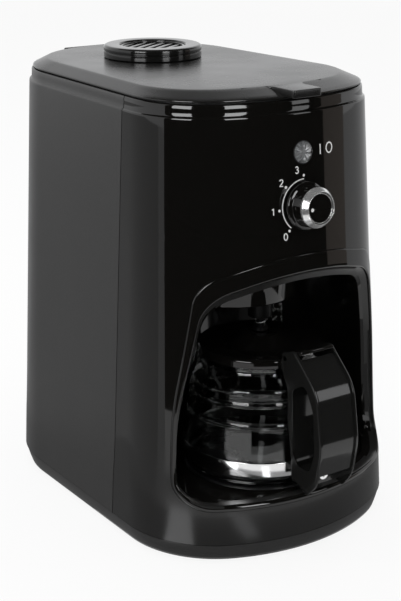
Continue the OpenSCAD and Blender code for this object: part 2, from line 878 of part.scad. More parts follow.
module board_parts() {
    z = floor_z + 13.75;
    color([0.15, 0.15, 0.2]) {
        translate([-34, board_y + 6, z])
            cube([22, 18, 16]);
        translate([6, board_y + 8, z])
            cube([28, 24, 22]);
        translate([-20, board_y + 46, z])
            cylinder(r = 7, h = 20);
        translate([12, board_y + 48, z])
            cylinder(r = 5, h = 14);
    }
}

module selector_switch() {
    color([0.2, 0.2, 0.2])
        on_panel(knob_z)
            difference() {
                union() {
                    translate([-10, -10, -20])
                        cube([20, 20, 16.6]);
                    translate([0, 0, -4])
                        cylinder(r = 5, h = 4.4);
                }
                translate([0, 0, -14])
                    cylinder(r = 3 + run, h = 20);
            }
}

// Controls

module switch_shaft() {
    color([0.7, 0.7, 0.7])
        on_panel(knob_z)
            translate([0, 0, -13])
                cylinder(r = 3, h = 21);
}

module knob_body() {
    h = knob_h - 4.8;
    color([0.03, 0.03, 0.03])
        on_panel(knob_z)
            rotate_extrude()
                polygon([[3.02, 0.9], [knob_r, 0.9], [knob_r, 2.6], [knob_r - 0.8, 3.4],
                    [ring_r + 0.2, 4], [ring_r, h], [ring_r - 2.2, h], [ring_r - 2.2, knob_h - 1.2],
                    [0, knob_h - 1.2], [0, 8.2], [3.02, 8.2]]);
}

module knob_ring() {
    h = knob_h - 4.7;
    color([0.85, 0.85, 0.87])
        on_panel(knob_z)
            rotate_extrude()
                polygon([[ring_r - 2.15, h], [ring_r, h], [ring_r, h + 0.7], [ring_r - 1.9, knob_h - 0.7],
                    [ring_r - 1.9, knob_h], [ring_r - 2.15, knob_h]]);
}

module knob_pointer() {
    color([0.95, 0.95, 0.95])
        on_panel(knob_z)
            rotate([0, 0, scale_angles[2]])
                translate([ring_r - 4.4, 0, knob_h - 1.15])
                    cylinder(r = 1.1, h = 0.3);
}

module button_lens() {
    color([0.85, 0.87, 0.9])
        on_panel(button_z)
            rotate_extrude()
                polygon([[0, -8], [3, -8], [3, -2.5], [button_r, -2.5], [button_r, 1],
                    [button_r - 0.9, 1.9], [2.6, 2.1], [1.6, 1.4], [0, 1.1]]);
}

module button_guide() {
    r = button_r + 0.35;
    color([0.12, 0.12, 0.12])
        on_panel(button_z)
            rotate_extrude()
                polygon([[0, -15], [r + 2, -15], [r + 2, -3.2], [r, -3.2], [r, -13], [0, -13]]);
}

module button_switch() {
    color([0.3, 0.3, 0.3])
        on_panel(button_z)
            translate([0, 0, -12.95])
                cylinder(r = 3.6, h = 3);
}

// Lid

module lid() {
    e = collar + bevel_side;
    f = collar + bevel_front;
    b = collar + bevel_back;
    tab_y = face_y(rim_z) - tab_reach;
    root = face_y(rim_z) + f + 3;
    tab_plan = [[-30, root, 0.5], [-tab_half, root, 9], [-tab_half, tab_y, 2], [tab_half, tab_y, 2],
        [tab_half, root, 9], [30, root, 0.5], [30, root + 8, 0.5], [-30, root + 8, 0.5]];
    color([0.06, 0.06, 0.06])
        difference() {
            union() {
                difference() {
                    loft([ring_row(rim_z, collar, undef, undef, lid_lo),
                        ring_row(rim_z, collar, undef, undef, lid_lo + 1),
                        ring_row(rim_z, e, f, b, lid_z)]);
                    loft([ring_row(rim_z, collar + wall, undef, undef, lid_lo - 1),
                        ring_row(rim_z, collar + wall, undef, undef, lid_lo + 0.6),
                        ring_row(rim_z, e + 1, f + 1, b + 1, lid_z - 2.4)]);
                }
                translate([0, 0, lid_lo + 1])
                    linear_extrude(lid_z - lid_lo - 1.1)
                        polygon(rounded(tab_plan, 8));
                rod_x(hinge_y, hinge_z, knuckle_r, -ear_in + 0.6, ear_in - 0.6);
                translate([-ear_in + 0.6, hinge_y - 6, lid_lo])
                    cube([2 * ear_in - 1.2, 6, 2.4]);
            }
            rod_x(hinge_y, hinge_z, pin_r + run, -60, 60);
            for (x = [ear_in - 0.6, -ear_out - 0.6])
                translate([x, back_d - 5.6, lid_lo - 1])
                    cube([ear_out - ear_in + 1.2, 12, 12]);
            translate([0, cap_y, lid_lo])
                cylinder(r = cap_r - 6.1, h = 20);
        }
}

module lid_liner() {
    color([0.06, 0.06, 0.06])
        difference() {
            translate([0, 0, lid_lo - 2.4])
                linear_extrude(2.3)
                    polygon(ring_plan(rim_z, collar + wall + 0.6, undef, collar + wall + 1.6));
            translate([0, cap_y, 200])
                cylinder(r = cap_r - 6.1, h = 100);
        }
}

module hinge_pin() {
    color([0.7, 0.7, 0.7])
        rod_x(hinge_y, hinge_z, pin_r, -ear_out, ear_out);
}

// Water channel and spray disc under the lid
module shower_head() {
    top = lid_lo - 2.45;
    color([0.08, 0.08, 0.08])
        difference() {
            union() {
                translate([0, basket_y, 262.5])
                    cylinder(r = 20, h = 4);
                translate([0, basket_y, 266])
                    cylinder(r1 = 12, r2 = 8, h = top - 266);
                translate([riser_x, riser_y, flange_z + 3])
                    cylinder(r = 5.5, h = top - flange_z - 3);
                translate([0, basket_y, top - 5])
                    rotate([0, 0, atan2(riser_y - basket_y, riser_x)])
                        translate([0, -4, 0])
                            cube([norm([riser_x, riser_y - basket_y]), 8, 5]);
            }
            translate([riser_x, riser_y, flange_z + 2])
                cylinder(r = 3, h = 5);
            for (k = [1 : 2], a = [0 : 60 : 300])
                rotate([0, 0, 0])
                    translate([8 * k * cos(a), basket_y + 8 * k * sin(a), 262])
                        cylinder(r = 1, h = 2.5);
        }
}

module vent_cap() {
    r = cap_r;
    z = lid_z + free;
    t = lid_z + cap_h;
    m = (z + t) / 2;
    color([0.06, 0.06, 0.06])
        translate([0, cap_y, 0])
            difference() {
                rotate_extrude()
                    polygon([[r - 9.5, lid_lo - 2], [r - 7.5, lid_lo - 2], [r - 7.5, z], [r - 0.4, z],
                        [r, z + 0.4], [r, m - 0.3], [r - 0.5, m - 0.3], [r - 0.5, m + 0.3], [r, m + 0.3],
                        [r, t - 1], [r - 1, t], [r - 10, t], [r - 10.8, t - 0.8], [r - 10.8, t - 2.6],
                        [r - 13, t - 2.6], [r - 13, t - 4.6], [r - 9.5, t - 4.6]]);
                translate([0, 0, lid_z - 3.05])
                    tube(r - 5, r - 8, 0, 1.3);
            }
}

// Slanted bars across the recess of the cap
module cap_grille() {
    t = lid_z + cap_h;
    r = cap_r - 10.9;
    color([0.05, 0.05, 0.05])
        translate([0, cap_y, t - 2.55])
            intersection() {
                cylinder(r = r, h = 1.6);
                rotate([0, 0, 35])
                    union() {
                        for (i = [-3 : 3])
                            translate([-40, i * 6.2 - 2.2, 0])
                                cube([80, 4.4, 1.6]);
                        tube(r + 1, r - 1.8, 0, 1.6);
                    }
            }
}

module cap_seal() {
    color([0.1, 0.1, 0.1])
        translate([0, cap_y, lid_z - 2.4])
            rotate_extrude()
                translate([cap_r - 7.3, 0])
                    circle(r = 0.6);
}

// Carafe

// Half section of the jug: radius and height above the foot, outside then inside
function jug_out() = let (r = jug_r, h = jug_h)
    [[0, 1.2], [r - 11, 1.2], [r - 9, 0], [r - 6, 0], [r - 2.6, 1.4], [r - 0.5, 4.6], [r, 7.6], [r, 17.6],
        [r - 0.3, 22], [r - 1.4, 33], [r - 1.9, 38.6], [r - 1.3, 40.2], [r - 2, 41.8], [r - 3.2, 50],
        [r - 3.6, 52], [r - 3, 53.4], [r - 3.8, 55], [r - 4.6, 59.4], [r - 3.8, 61], [r - 4.4, 62.4],
        [r - 6.8, 65.4], [r - 9.6, 68.6], [r - 11.2, 71], [r - 11.6, 73], [r - 10.6, h - 0.8],
        [r - 10.8, h]];
function jug_in() = let (r = jug_r - glass_t, h = jug_h)
    [[r - 10.4, h], [r - 10.6, h - 1], [r - 11.3, 73], [r - 10.8, 70.6], [r - 9, 67.8], [r - 6.2, 64.4],
        [r - 4.4, 61], [r - 4.2, 56], [r - 3, 47], [r - 1.6, 36], [r - 0.4, 23], [r, 15], [r, 8],
        [r - 1, 5], [r - 3.4, 2.6 + glass_t / 2], [r - 8, 1.2 + glass_t], [0, 1.2 + glass_t]];

module carafe_glass() {
    color([0.8, 0.85, 0.88, 0.4])
        translate([0, carafe_y, jug_z])
            rotate_extrude()
                polygon(concat(jug_out(), jug_in()));
}

module carafe_band() {
    z = jug_z + 8;
    y = carafe_y - jug_r;
    color([0.85, 0.85, 0.87])
        difference() {
            union() {
                translate([0, carafe_y, 0])
                    tube(jug_r + 0.8, jug_r + 0.1, z, z + 9.4);
                translate([-8, y - 3, z])
                    cube([16, 2.6, 9.4]);
            }
            rod_y(0, z + 4.7, 1.7, y - 10, y - 0.2);
        }
}

// Side view of the handle: depth, height and corner radius, anticlockwise
grip_y = carafe_y - grip_reach;
neck_y = carafe_y - jug_r;
grip_out = [[neck_y + 8.5, jug_top + 1.5, 2], [neck_y + 8.5, jug_top + 12.5, 3],
    [neck_y - 3.5, jug_top + 16.5, 5], [grip_y + 4, jug_top - 4, 24], [grip_y - 1.6, jug_z + 36, 40],
    [grip_y + 2.6, jug_z + 12, 20], [grip_y + 11, jug_z + 2.6, 2], [grip_y + 15.5, jug_z + 4.4, 2],
    [neck_y - 9, jug_z + 7.4, 5], [neck_y - 3.2, jug_z + 7.4, 2], [neck_y - 2.6, jug_z + 21, 6],
    [neck_y + 1.6, jug_z + 46, 14], [neck_y + 2.1, jug_z + 66, 8]];
grip_hole = [[neck_y - 2.4, jug_z + 67, 4], [grip_y + 14, jug_z + 75.5, 6], [grip_y + 8.8, jug_z + 57, 25],
    [grip_y + 8.4, jug_z + 31, 20], [grip_y + 14, jug_z + 18.6, 5], [neck_y - 8.5, jug_z + 18.2, 4],
    [neck_y - 4.4, jug_z + 25, 6]];

module carafe_handle() {
    w = grip_half - flange_t;
    screw_z = jug_z + 12.7;
    color([0.03, 0.03, 0.03])
        difference() {
            union() {
                for (s = [-1, 1])
                    along_x(s > 0 ? w : -grip_half, s > 0 ? grip_half : -w)
                        difference() {
                            polygon(rounded(grip_out));
                            polygon(rounded(grip_hole));
                        }
                difference() {
                    along_x(-w, w)
                        difference() {
                            polygon(rounded(inset(grip_out, 1.3)));
                            polygon(rounded(inset(grip_out, 4)));
                        }
                    translate([-w - 1, neck_y - 7, jug_top - 2])
                        cube([2 * w + 2, 40, 40]);
                    translate([-w - 1, grip_y - 10, jug_z])
                        cube([2 * w + 2, 25, 17]);
                }
                translate([-w, grip_y + 15, jug_z + 8.2])
                    cube([2 * w, neck_y - grip_y - 18.2, 9]);
            }
            rod_y(0, screw_z, 2, grip_y - 1, neck_y);
            rod_x(neck_y + 4.5, jug_top + 9.5, 1.5 + run, -40, 40);
        }
}

module handle_screw() {
    z = jug_z + 12.7;
    color([0.8, 0.8, 0.8])
        difference() {
            union() {
                rod_y(0, z, 3.4, grip_y + 12.8, grip_y + 14.95);
                rod_y(0, z, 1.6, grip_y + 14, neck_y - 0.6);
            }
            for (a = [0, 90])
                translate([0, grip_y + 12.7, z])
                    rotate([0, a, 0])
                        translate([-2, 0, -0.4])
                            cube([4, 1, 0.8]);
        }
}

module carafe_lid() {
    z = jug_top + free;
    ly = neck_y + 4.5;
    lz = jug_top + 9.5;
    w = grip_half - flange_t - 0.5;
    lever = [[ly + 7, z + 3, 1], [ly + 5, lz + 2.6, 2], [ly - 12.6, lz + 7.4, 1],
        [ly - 12.9, lz + 5.4, 0.6], [ly - 2.8, lz - 2.4, 2], [ly + 2, lz - 4.4, 1]];
    color([0.03, 0.03, 0.03])
        difference() {
            union() {
                translate([0, carafe_y, 0])
                    rotate_extrude()
                        polygon([[3, dome_z - 2], [lid_r - 28, dome_z - 2], [lid_r - 20, z + 3],
                            [plug_r - 1.6, z + 2.2], [plug_r - 1.6, z - 5], [plug_r, z - 5], [plug_r, z],
                            [lid_r, z], [lid_r, z + 4.6], [lid_r - 1.4, z + 6], [lid_r - 18, z + 5.2],
                            [lid_r - 27.2, dome_z], [3, dome_z]]);
                along_x(-w, w)
                    polygon(rounded(lever, 4));
            }
            rod_x(ly, lz, 1.5 + run, -40, 40);
        }
}

module carafe_pin() {
    color([0.7, 0.7, 0.7])
        rod_x(neck_y + 4.5, jug_top + 9.5, 1.5, -grip_half, grip_half);
}

base_pan();
rubber_feet();
base_screws();
cord_gland();
rear_housing();
front_housing();
dial_print();
bay_surround();
bay_liner();
deck_plate();
warming_plate();
plate_seal();
heating_tube();
thermostat();
water_tank();
check_valve();
inlet_hose();
riser_tube();
top_deck();
basket_well();
motor_cover();
brew_basket();
filter_screen();
drip_valve();
valve_seal();
valve_spring();
grinder_motor();
motor_pad();
motor_shaft();
shaft_seal();
grinder_blade();
control_board();
board_parts();
selector_switch();
switch_shaft();
knob_body();
knob_ring();
knob_pointer();
button_lens();
button_guide();
button_switch();
lid();
lid_liner();
hinge_pin();
shower_head();
vent_cap();
cap_grille();
cap_seal();
carafe_glass();
carafe_band();
carafe_handle();
handle_screw();
carafe_lid();
carafe_pin();
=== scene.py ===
import json
from math import cos, pi, radians, sin
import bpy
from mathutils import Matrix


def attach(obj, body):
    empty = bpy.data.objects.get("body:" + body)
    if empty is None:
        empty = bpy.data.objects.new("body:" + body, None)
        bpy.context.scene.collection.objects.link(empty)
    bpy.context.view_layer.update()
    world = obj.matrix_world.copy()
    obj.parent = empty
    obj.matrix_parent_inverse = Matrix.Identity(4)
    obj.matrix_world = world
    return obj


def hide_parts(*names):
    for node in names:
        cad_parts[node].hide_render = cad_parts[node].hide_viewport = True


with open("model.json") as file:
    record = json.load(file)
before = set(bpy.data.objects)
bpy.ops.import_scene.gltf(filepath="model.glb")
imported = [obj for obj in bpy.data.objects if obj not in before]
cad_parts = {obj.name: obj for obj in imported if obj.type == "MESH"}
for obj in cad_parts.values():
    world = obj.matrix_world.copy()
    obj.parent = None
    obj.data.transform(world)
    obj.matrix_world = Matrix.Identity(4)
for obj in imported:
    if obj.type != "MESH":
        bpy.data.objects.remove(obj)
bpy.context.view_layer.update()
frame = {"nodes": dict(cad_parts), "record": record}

from types import SimpleNamespace

import bmesh
import bpy
import numpy as np
from bpy.props import FloatProperty, FloatVectorProperty, IntProperty, PointerProperty
from mathutils import Matrix, Vector

bl_info = {
    "name": "Grind and brew coffee maker",
    "version": (1, 0, 0),
    "blender": (4, 5, 0),
    "location": "View3D > Sidebar > Coffee maker",
    "description": "Dresses the coffee maker's solids with smooth mouldings, glass, print and finishes",
    "category": "Object",
}

MM = 0.001

# Heights, depths and radii of the mouldings in millimetres, as in the solids
STEP_Z, RIM_Z, SKIRT_Z, COLLAR = 271.0, 278.5, 12.5, 1.3
SEAM_Y, SEAM = -30.0, 0.7
GLAND_Z, GLAND_R = 32.0, 7.0
CEILING_Z, BAY_BACK, LINER_IN, BAY_BEND = 180.0, 12.0, 12.4, 30.0
LID_TOP, CAP_Y, CAP_R, FILLER_R = 285.0, 60.0, 32.5, 26.4
KNOB_Z, KNOB_R, KNOB_H = 216.0, 12.1, 15.7
BUTTON_Z, BUTTON_R, BUTTON_HOLE = 247.5, 6.4, 6.75
CARAFE_Y, BASKET_Y, BASKET_R, PLATE_Z, PLATE_R = -61.0, -32.0, 43.4, 38.5, 47.5
JUG_Z, JUG_R, JUG_H = 38.8, 49.0, 75.2
JUG_TOP = JUG_Z + JUG_H
NECK_Y, GRIP_Y, GRIP_HALF, FLANGE = CARAFE_Y - JUG_R, CARAFE_Y - 79.0, 15.0, 2.0
SCALE_R, SCALE_TURNS = 17.0, [90.0, 136.7, 183.4, 230.1]
FEET = [(66, -62), (-66, -62), (62, 60), (-62, 60)]

# Plan of the body: each value at the collar's step, and what it gains from there down to the floor
REAR_HALF, FRONT_HALF, FRONT_DEPTH, BACK_DEPTH = (73.9, 16.8), (83.5, 10.7), (98.0, 22.0), (138.6, 2.4)
REAR_R, CORNER_R, FRONT_R, BACK_R = (62.8, 5.5), (51.5, 13.4), (142.0, -11.0), (421.0, 0.0)
TILT = float(np.arctan(FRONT_DEPTH[1] / STEP_Z))

# Flare at the foot: heights where it starts and where it is full, and what it adds to the sides and the front
FLARE_START, FLARE_FULL, FLARE_SIDE, FLARE_FRONT = 62.5, 30.0, 1.2, 3.3

# Height and inset of each row of the collar, from the drafted face over the step to the rim
COLLAR_ROWS = [(269.8, 0), (270.2, 0.01), (270.6, 0.06), (270.85, 0.18), (271.02, 0.38), (271.15, 0.62),
               (271.35, 0.86), (271.7, 1.06), (272.4, 1.2), (273.6, 1.28), (275.2, COLLAR), (277.4, COLLAR),
               (277.95, 1.42), (278.3, 1.7), (RIM_Z, 2.2)]

# Corners (x, z, radius) of the bay's arch: inner edge, lip and outer edge
ARCH_IN = [(-80.2, 38, 13), (80.2, 38, 13), (76.9, 95, 300), (63.4, 164.4, 24), (0, 180.8, 165),
           (-63.4, 164.4, 24), (-76.9, 95, 300)]
ARCH_LIP = [(-76.0, 38, 11), (76.0, 38, 11), (72.8, 95, 300), (58.8, 159.2, 22), (0, 174.8, 160),
            (-58.8, 159.2, 22), (-72.8, 95, 300)]
ARCH_OUT = [(-82.8, 34.2, 15), (82.8, 34.2, 15), (79.5, 96, 300), (66.9, 175.9, 21), (0, 191.8, 175),
            (-66.9, 175.9, 21), (-79.5, 96, 300)]

# Half width of the bay's walls behind the lip, by height
JAMB_Z, JAMB_X = [38, 95, 159, 180], [78.0, 74.6, 61.5, 61.5]


class MouldingSizes(bpy.types.PropertyGroup):
    """Sizes of the visible mouldings that the solids leave plain"""

    wall: FloatProperty(name="Shell wall", description="Wall thickness of the two housing shells",
                        default=0.0024, min=0.0015, max=0.003, unit="LENGTH", precision=4)
    seam_edge: FloatProperty(name="Seam edge", description="Rounding of the edges along the seams of the shells",
                             default=0.0005, min=0.0001, max=0.001, unit="LENGTH", precision=4)
    jamb_edge: FloatProperty(name="Jamb edge", description="Rounding of the inner edge of the bay surround",
                             default=0.0018, min=0.0005, max=0.0019, unit="LENGTH", precision=4)
    print_stroke: FloatProperty(name="Print stroke", description="Stroke width of the printed scale and marks",
                                default=0.00066, min=0.0004, max=0.0012, unit="LENGTH", precision=4)
    digit_height: FloatProperty(name="Digit height", description="Height of the numbers beside the selector",
                                default=0.0039, min=0.003, max=0.006, unit="LENGTH", precision=4)
    lens_facets: IntProperty(name="Lens facets", description="Facets moulded under the button's lens",
                             default=9, min=5, max=16)


class FinishColours(bpy.types.PropertyGroup):
    """Colours of the finishes"""

    satin: FloatVectorProperty(name="Satin shell", description="Satin moulded plastic of the rear shell and lid",
                               default=(0.022, 0.0215, 0.021), min=0, max=1, subtype="COLOR")
    gloss: FloatVectorProperty(name="Gloss shell", description="Gloss moulded plastic of the front and the bay",
                               default=(0.0060, 0.0056, 0.0050), min=0, max=1, subtype="COLOR")
    inner: FloatVectorProperty(name="Inner plastic", description="Plastic of the basket and other inner mouldings",
                               default=(0.020, 0.020, 0.020), min=0, max=1, subtype="COLOR")
    chrome: FloatVectorProperty(name="Chrome", description="Bright plated trim on the knob and the carafe",
                                default=(0.80, 0.80, 0.80), min=0, max=1, subtype="COLOR")
    glass: FloatVectorProperty(name="Carafe glass", description="Clear pressed glass of the carafe",
                               default=(0.96, 0.975, 0.97), min=0, max=1, subtype="COLOR")
    printing: FloatVectorProperty(name="Print", description="White print on the control panel",
                                  default=(0.95, 0.95, 0.93), min=0, max=1, subtype="COLOR")


class StudioLight(bpy.types.PropertyGroup):
    """Light and backdrop of the picture"""

    ambient: FloatProperty(name="Ambient light", description="Strength of the even light from all round",
                           default=0.55, min=0, max=2)
    top_box: FloatProperty(name="Top softbox", description="Power of the softbox above the object",
                           default=14.0, min=0, max=200, subtype="POWER")
    window: FloatProperty(name="Mirrored windows", description="Brightness of two windows that gloss surfaces mirror",
                          default=8.0, min=0, max=40)


# Plane curves

def unit(v):
    """Vectors divided by their length."""
    return v / np.linalg.norm(v, axis=-1, keepdims=True)


def round_path(rows, n=8):
    """Closed path: each corner (x, y, radius) becomes the arc of that radius that touches both of its sides."""
    p = np.asarray(rows, float)
    b, r = p[:, :2], p[:, 2]
    u, v = unit(np.roll(b, 1, 0) - b), unit(np.roll(b, -1, 0) - b)
    half = np.arccos(np.clip((u * v).sum(1), -1, 1)) / 2
    mid = unit(u + v + 1e-12)
    o = b + mid * (r / np.sin(half))[:, None]
    s = b + u * (r / np.tan(half))[:, None] - o
    e = b + v * (r / np.tan(half))[:, None] - o
    a = np.arctan2(s[:, 1], s[:, 0])
    turn = (np.arctan2(e[:, 1], e[:, 0]) - a + pi) % (2 * pi) - pi
    t = a[:, None] + turn[:, None] * np.linspace(0, 1, n + 1)
    return (o[:, None] + r[:, None, None] * np.stack([np.cos(t), np.sin(t)], -1)).reshape(-1, 2)


def soften(points, radius, keep=()):
    """Corner rows of a closed path through points: each corner gets the radius, or the most that its shorter side
    allows, and those listed in keep stay sharp."""
    b = np.asarray(points, float)
    back, on = np.roll(b, 1, 0) - b, np.roll(b, -1, 0) - b
    half = np.arccos(np.clip((unit(back) * unit(on)).sum(1), -1, 1)) / 2
    room = 0.46 * np.minimum(np.linalg.norm(back, axis=1), np.linalg.norm(on, axis=1)) * np.tan(half)
    r = np.minimum(radius, room)
    r[list(keep)] = 0
    return np.column_stack([b, r])


def grown(rows, d):
    """Anticlockwise corner rows moved outwards by d, with their radii grown or shrunk to stay concentric."""
    p = np.asarray(rows, float)
    b = p[:, :2]
    u, v = unit(b - np.roll(b, 1, 0)), unit(np.roll(b, -1, 0) - b)
    m, k = np.stack([u[:, 1], -u[:, 0]], 1), np.stack([v[:, 1], -v[:, 0]], 1)
    turn = np.sign(u[:, 0] * v[:, 1] - u[:, 1] * v[:, 0])
    w = (m + k) / (1 + (m * k).sum(1))[:, None] * d
    return np.column_stack([b + w, np.maximum(0.2, p[:, 2] + turn * d)])


def evenly(path, n, start=0.0):
    """Closed path sampled at n points of equal arc length, the first at the share start of its whole length."""
    p = np.vstack([path, path[:1]])
    s = np.concatenate([[0], np.cumsum(np.linalg.norm(np.diff(p, axis=0), axis=1))])
    t = (np.arange(n) / n + start) % 1 * s[-1]
    return np.column_stack([np.interp(t, s, p[:, 0]), np.interp(t, s, p[:, 1])])


def by_angle(path, centre, turns):
    """Points of a closed path round centre, one in each direction of turns."""
    d = np.asarray(path) - np.asarray(centre)
    p = np.vstack([d, d[:1]])
    k = np.linspace(0, 1, 24, endpoint=False)[None, :, None]
    d = (p[:-1, None] * (1 - k) + p[1:, None] * k).reshape(-1, 2)
    r = np.interp(turns, np.arctan2(d[:, 1], d[:, 0]), np.hypot(d[:, 0], d[:, 1]), period=2 * pi)
    return np.asarray(centre) + np.column_stack([r * np.cos(turns), r * np.sin(turns)])


# Body outline: front arc, corner arc, straight side, rear arc and back arc, all tangent, drafted with height

def ease(t):
    """Smooth step from 0 to 1."""
    t = np.clip(t, 0, 1)
    return t * t * (3 - 2 * t)


def outline(z, e=0.0, front=None, back=None):
    """Arc centres, radii and tangent angles of the right half of the outline at height z, moved in by e.

    Every value grows linearly downwards, and the front flares at its foot. The corner centre lies on the side line
    moved in by the corner radius, at the distance of the radii's difference from the front arc's centre; the rear
    centre likewise."""
    z, e = np.asarray(z, float), np.asarray(e, float)
    front, back = e if front is None else front, e if back is None else back
    k, foot = (STEP_Z - z) / STEP_Z, ease((FLARE_START - z) / (FLARE_START - FLARE_FULL))
    at = lambda value: value[0] + value[1] * k
    o = SimpleNamespace()
    o.rr, o.rb, o.rc, o.rf = at(REAR_R) - e / 2, at(BACK_R) - e, at(CORNER_R) - e / 2, at(FRONT_R) - e
    wb, wf = at(REAR_HALF) - e, at(FRONT_HALF) + FLARE_SIDE * foot - e
    yf, yb = -(at(FRONT_DEPTH) + FLARE_FRONT * foot) + front, at(BACK_DEPTH) - back
    long = np.hypot(wf - wb, yf - yb)
    dx, dy = (wf - wb) / long, (yf - yb) / long
    nx, ny = -dy, dx
    o.fy, o.by = yf + o.rf, yb - o.rb
    px, py = wb - nx * o.rc, yb - ny * o.rc
    qx, qy = px, py - o.fy
    qd = qx * dx + qy * dy
    s = np.sqrt(qd ** 2 - qx ** 2 - qy ** 2 + (o.rf - o.rc) ** 2) - qd
    o.cx, o.cy = px + s * dx, py + s * dy
    sx, sy = wb - nx * o.rr, yb - ny * o.rr
    tx, ty = sx, sy - o.by
    td = tx * dx + ty * dy
    m = np.sqrt(td ** 2 - tx ** 2 - ty ** 2 + (o.rb - o.rr) ** 2) + td
    o.sx, o.sy = sx - m * dx, sy - m * dy
    o.a1, o.a2 = np.arctan2(o.cy - o.fy, o.cx), np.arctan2(ny, nx)
    o.a3 = np.arctan2(o.sy - o.by, o.sx)
    return o


def shell_point(u, z, e=0.0, front=None, back=None):
    """Point of the outline at height z: |u| runs 0 to 1 on the front arc, to 2 on the corner, to 3 on the side,
    to 4 on the rear corner and to 5 at the middle of the back. A negative u, or one past 5, is on the left."""
    u, z, e = np.broadcast_arrays(*(np.asarray(v, float) for v in (u, z, e)))
    o = outline(z, e, front, back)
    v = np.where(u > 5, 10 - u, np.abs(u))
    side = np.where((u > 5) | (u < 0), -1.0, 1.0)
    af = -pi / 2 + np.clip(v, 0, 1) * (o.a1 + pi / 2)
    ac = o.a1 + np.clip(v - 1, 0, 1) * (o.a2 - o.a1)
    ar = o.a2 + np.clip(v - 3, 0, 1) * (o.a3 - o.a2)
    ab = o.a3 + np.clip(v - 4, 0, 1) * (pi / 2 - o.a3)
    k = np.clip(v - 2, 0, 1)
    x0, y0 = o.cx + o.rc * np.cos(o.a2), o.cy + o.rc * np.sin(o.a2)
    x1, y1 = o.sx + o.rr * np.cos(o.a2), o.sy + o.rr * np.sin(o.a2)
    where = [v < 1, v < 2, v < 3, v < 4]
    x = np.select(where, [o.rf * np.cos(af), o.cx + o.rc * np.cos(ac), x0 + k * (x1 - x0),
                          o.sx + o.rr * np.cos(ar)], o.rb * np.cos(ab))
    y = np.select(where, [o.fy + o.rf * np.sin(af), o.cy + o.rc * np.sin(ac), y0 + k * (y1 - y0),
                          o.sy + o.rr * np.sin(ar)], o.by + o.rb * np.sin(ab))
    return np.stack([side * x, y, z], -1)


def side_turn(z, y, e=0.0):
    """The u of the straight side where its depth is y."""
    o = outline(z, e)
    y0, y1 = o.cy + o.rc * np.sin(o.a2), o.sy + o.rr * np.sin(o.a2)
    return 2 + (y - y0) / (y1 - y0)


def face_turn(x, z):
    """The u of the front or corner arc at the width x."""
    o, a = outline(z), np.abs(x)
    on_front = a <= o.rf * np.cos(o.a1)
    front = (pi / 2 - np.arccos(np.clip(a / o.rf, -1, 1))) / (o.a1 + pi / 2)
    corner = 1 + (-np.arccos(np.clip((a - o.cx) / o.rc, -1, 1)) - o.a1) / (o.a2 - o.a1)
    return np.sign(x) * np.where(on_front, front, corner)


def face_depth(x, z, e=0.0):
    """Depth y of the front face at width x and height z, moved in by e."""
    o, a = outline(z, e), np.abs(x)
    front = o.fy - np.sqrt(np.maximum(o.rf ** 2 - a ** 2, 0))
    corner = o.cy - np.sqrt(np.maximum(o.rc ** 2 - (a - o.cx) ** 2, 0))
    return np.where(a <= o.rf * np.cos(o.a1), front, corner)


# Surfaces: each returns points and faces

def grid_faces(m, n, wrap_rows=False, wrap_columns=False):
    """Quads of an m by n grid of points, joined end to end where it wraps."""
    i = np.arange(m if wrap_rows else m - 1)[:, None]
    j = np.arange(n if wrap_columns else n - 1)[None]
    a, b = i * n + j, i * n + (j + 1) % n
    c, d = (i + 1) % m * n + (j + 1) % n, (i + 1) % m * n + j
    return np.stack([a, b, c, d], -1).reshape(-1, 4)


def sheet(points, wrap_rows=False, wrap_columns=False):
    """Surface through a grid of points."""
    m, n = points.shape[:2]
    return points.reshape(-1, 3), grid_faces(m, n, wrap_rows, wrap_columns)


def tube(grid):
    """Surface through a grid whose rows are closed loops, with the first and the last loop filled."""
    points, faces = sheet(grid, False, True)
    n, end = grid.shape[1], len(points)
    return points, faces.tolist() + [list(range(n)), list(range(end - n, end))]


def bar(grid):
    """Surface through a grid whose columns are closed loops, with the first and the last loop filled."""
    points, faces = sheet(grid, True, False)
    first = np.arange(len(grid)) * grid.shape[1]
    return points, faces.tolist() + [first.tolist(), (first[::-1] + grid.shape[1] - 1).tolist()]


def turned(rows, n=112, k=6, about=(0.0, 0.0)):
    """Surface of revolution: the closed section (radius, height, corner radius) is turned about an upright axis."""
    section = round_path(rows, k)
    t = 2 * pi * np.arange(n) / n
    r = section[:, 0, None]
    z = np.broadcast_to(section[:, 1, None], (len(section), n))
    return sheet(np.stack([about[0] + r * np.cos(t), about[1] + r * np.sin(t), z], -1), True, True)


def on_panel(part, height):
    """Local points (right, up along the panel, out of the panel) placed on the front face at that height."""
    p, faces = part
    y = float(face_depth(0.0, height))
    turn = np.array([[1, 0, 0], [0, sin(TILT), cos(TILT)], [0, -cos(TILT), sin(TILT)]])
    return p @ turn + np.array([0, y, height]), faces


def prism(loop, low, high, axis, edge=0.3):
    """A loop carried straight along an axis from low to high, with its two rims rounded by edge."""
    t = unit(np.roll(loop, -1, 0) - np.roll(loop, 1, 0) + 1e-12)
    out = np.stack([t[:, 1], -t[:, 0]], 1)
    area = np.sum(loop[:, 0] * np.roll(loop[:, 1], -1) - np.roll(loop[:, 0], -1) * loop[:, 1])
    out = out if area > 0 else -out
    a = np.linspace(0, pi / 2, 4)
    shift = np.concatenate([edge * (1 - np.sin(a)), edge * (1 - np.cos(a))])
    along = np.concatenate([low + edge * (1 - np.cos(a)), high - edge * (1 - np.sin(a))])
    ring = loop[None] - out[None] * shift[:, None, None]
    along = np.broadcast_to(along[:, None], ring.shape[:2])
    order = {"x": (along, ring[..., 0], ring[..., 1]), "z": (ring[..., 0], ring[..., 1], along)}[axis]
    return tube(np.stack(order, -1))


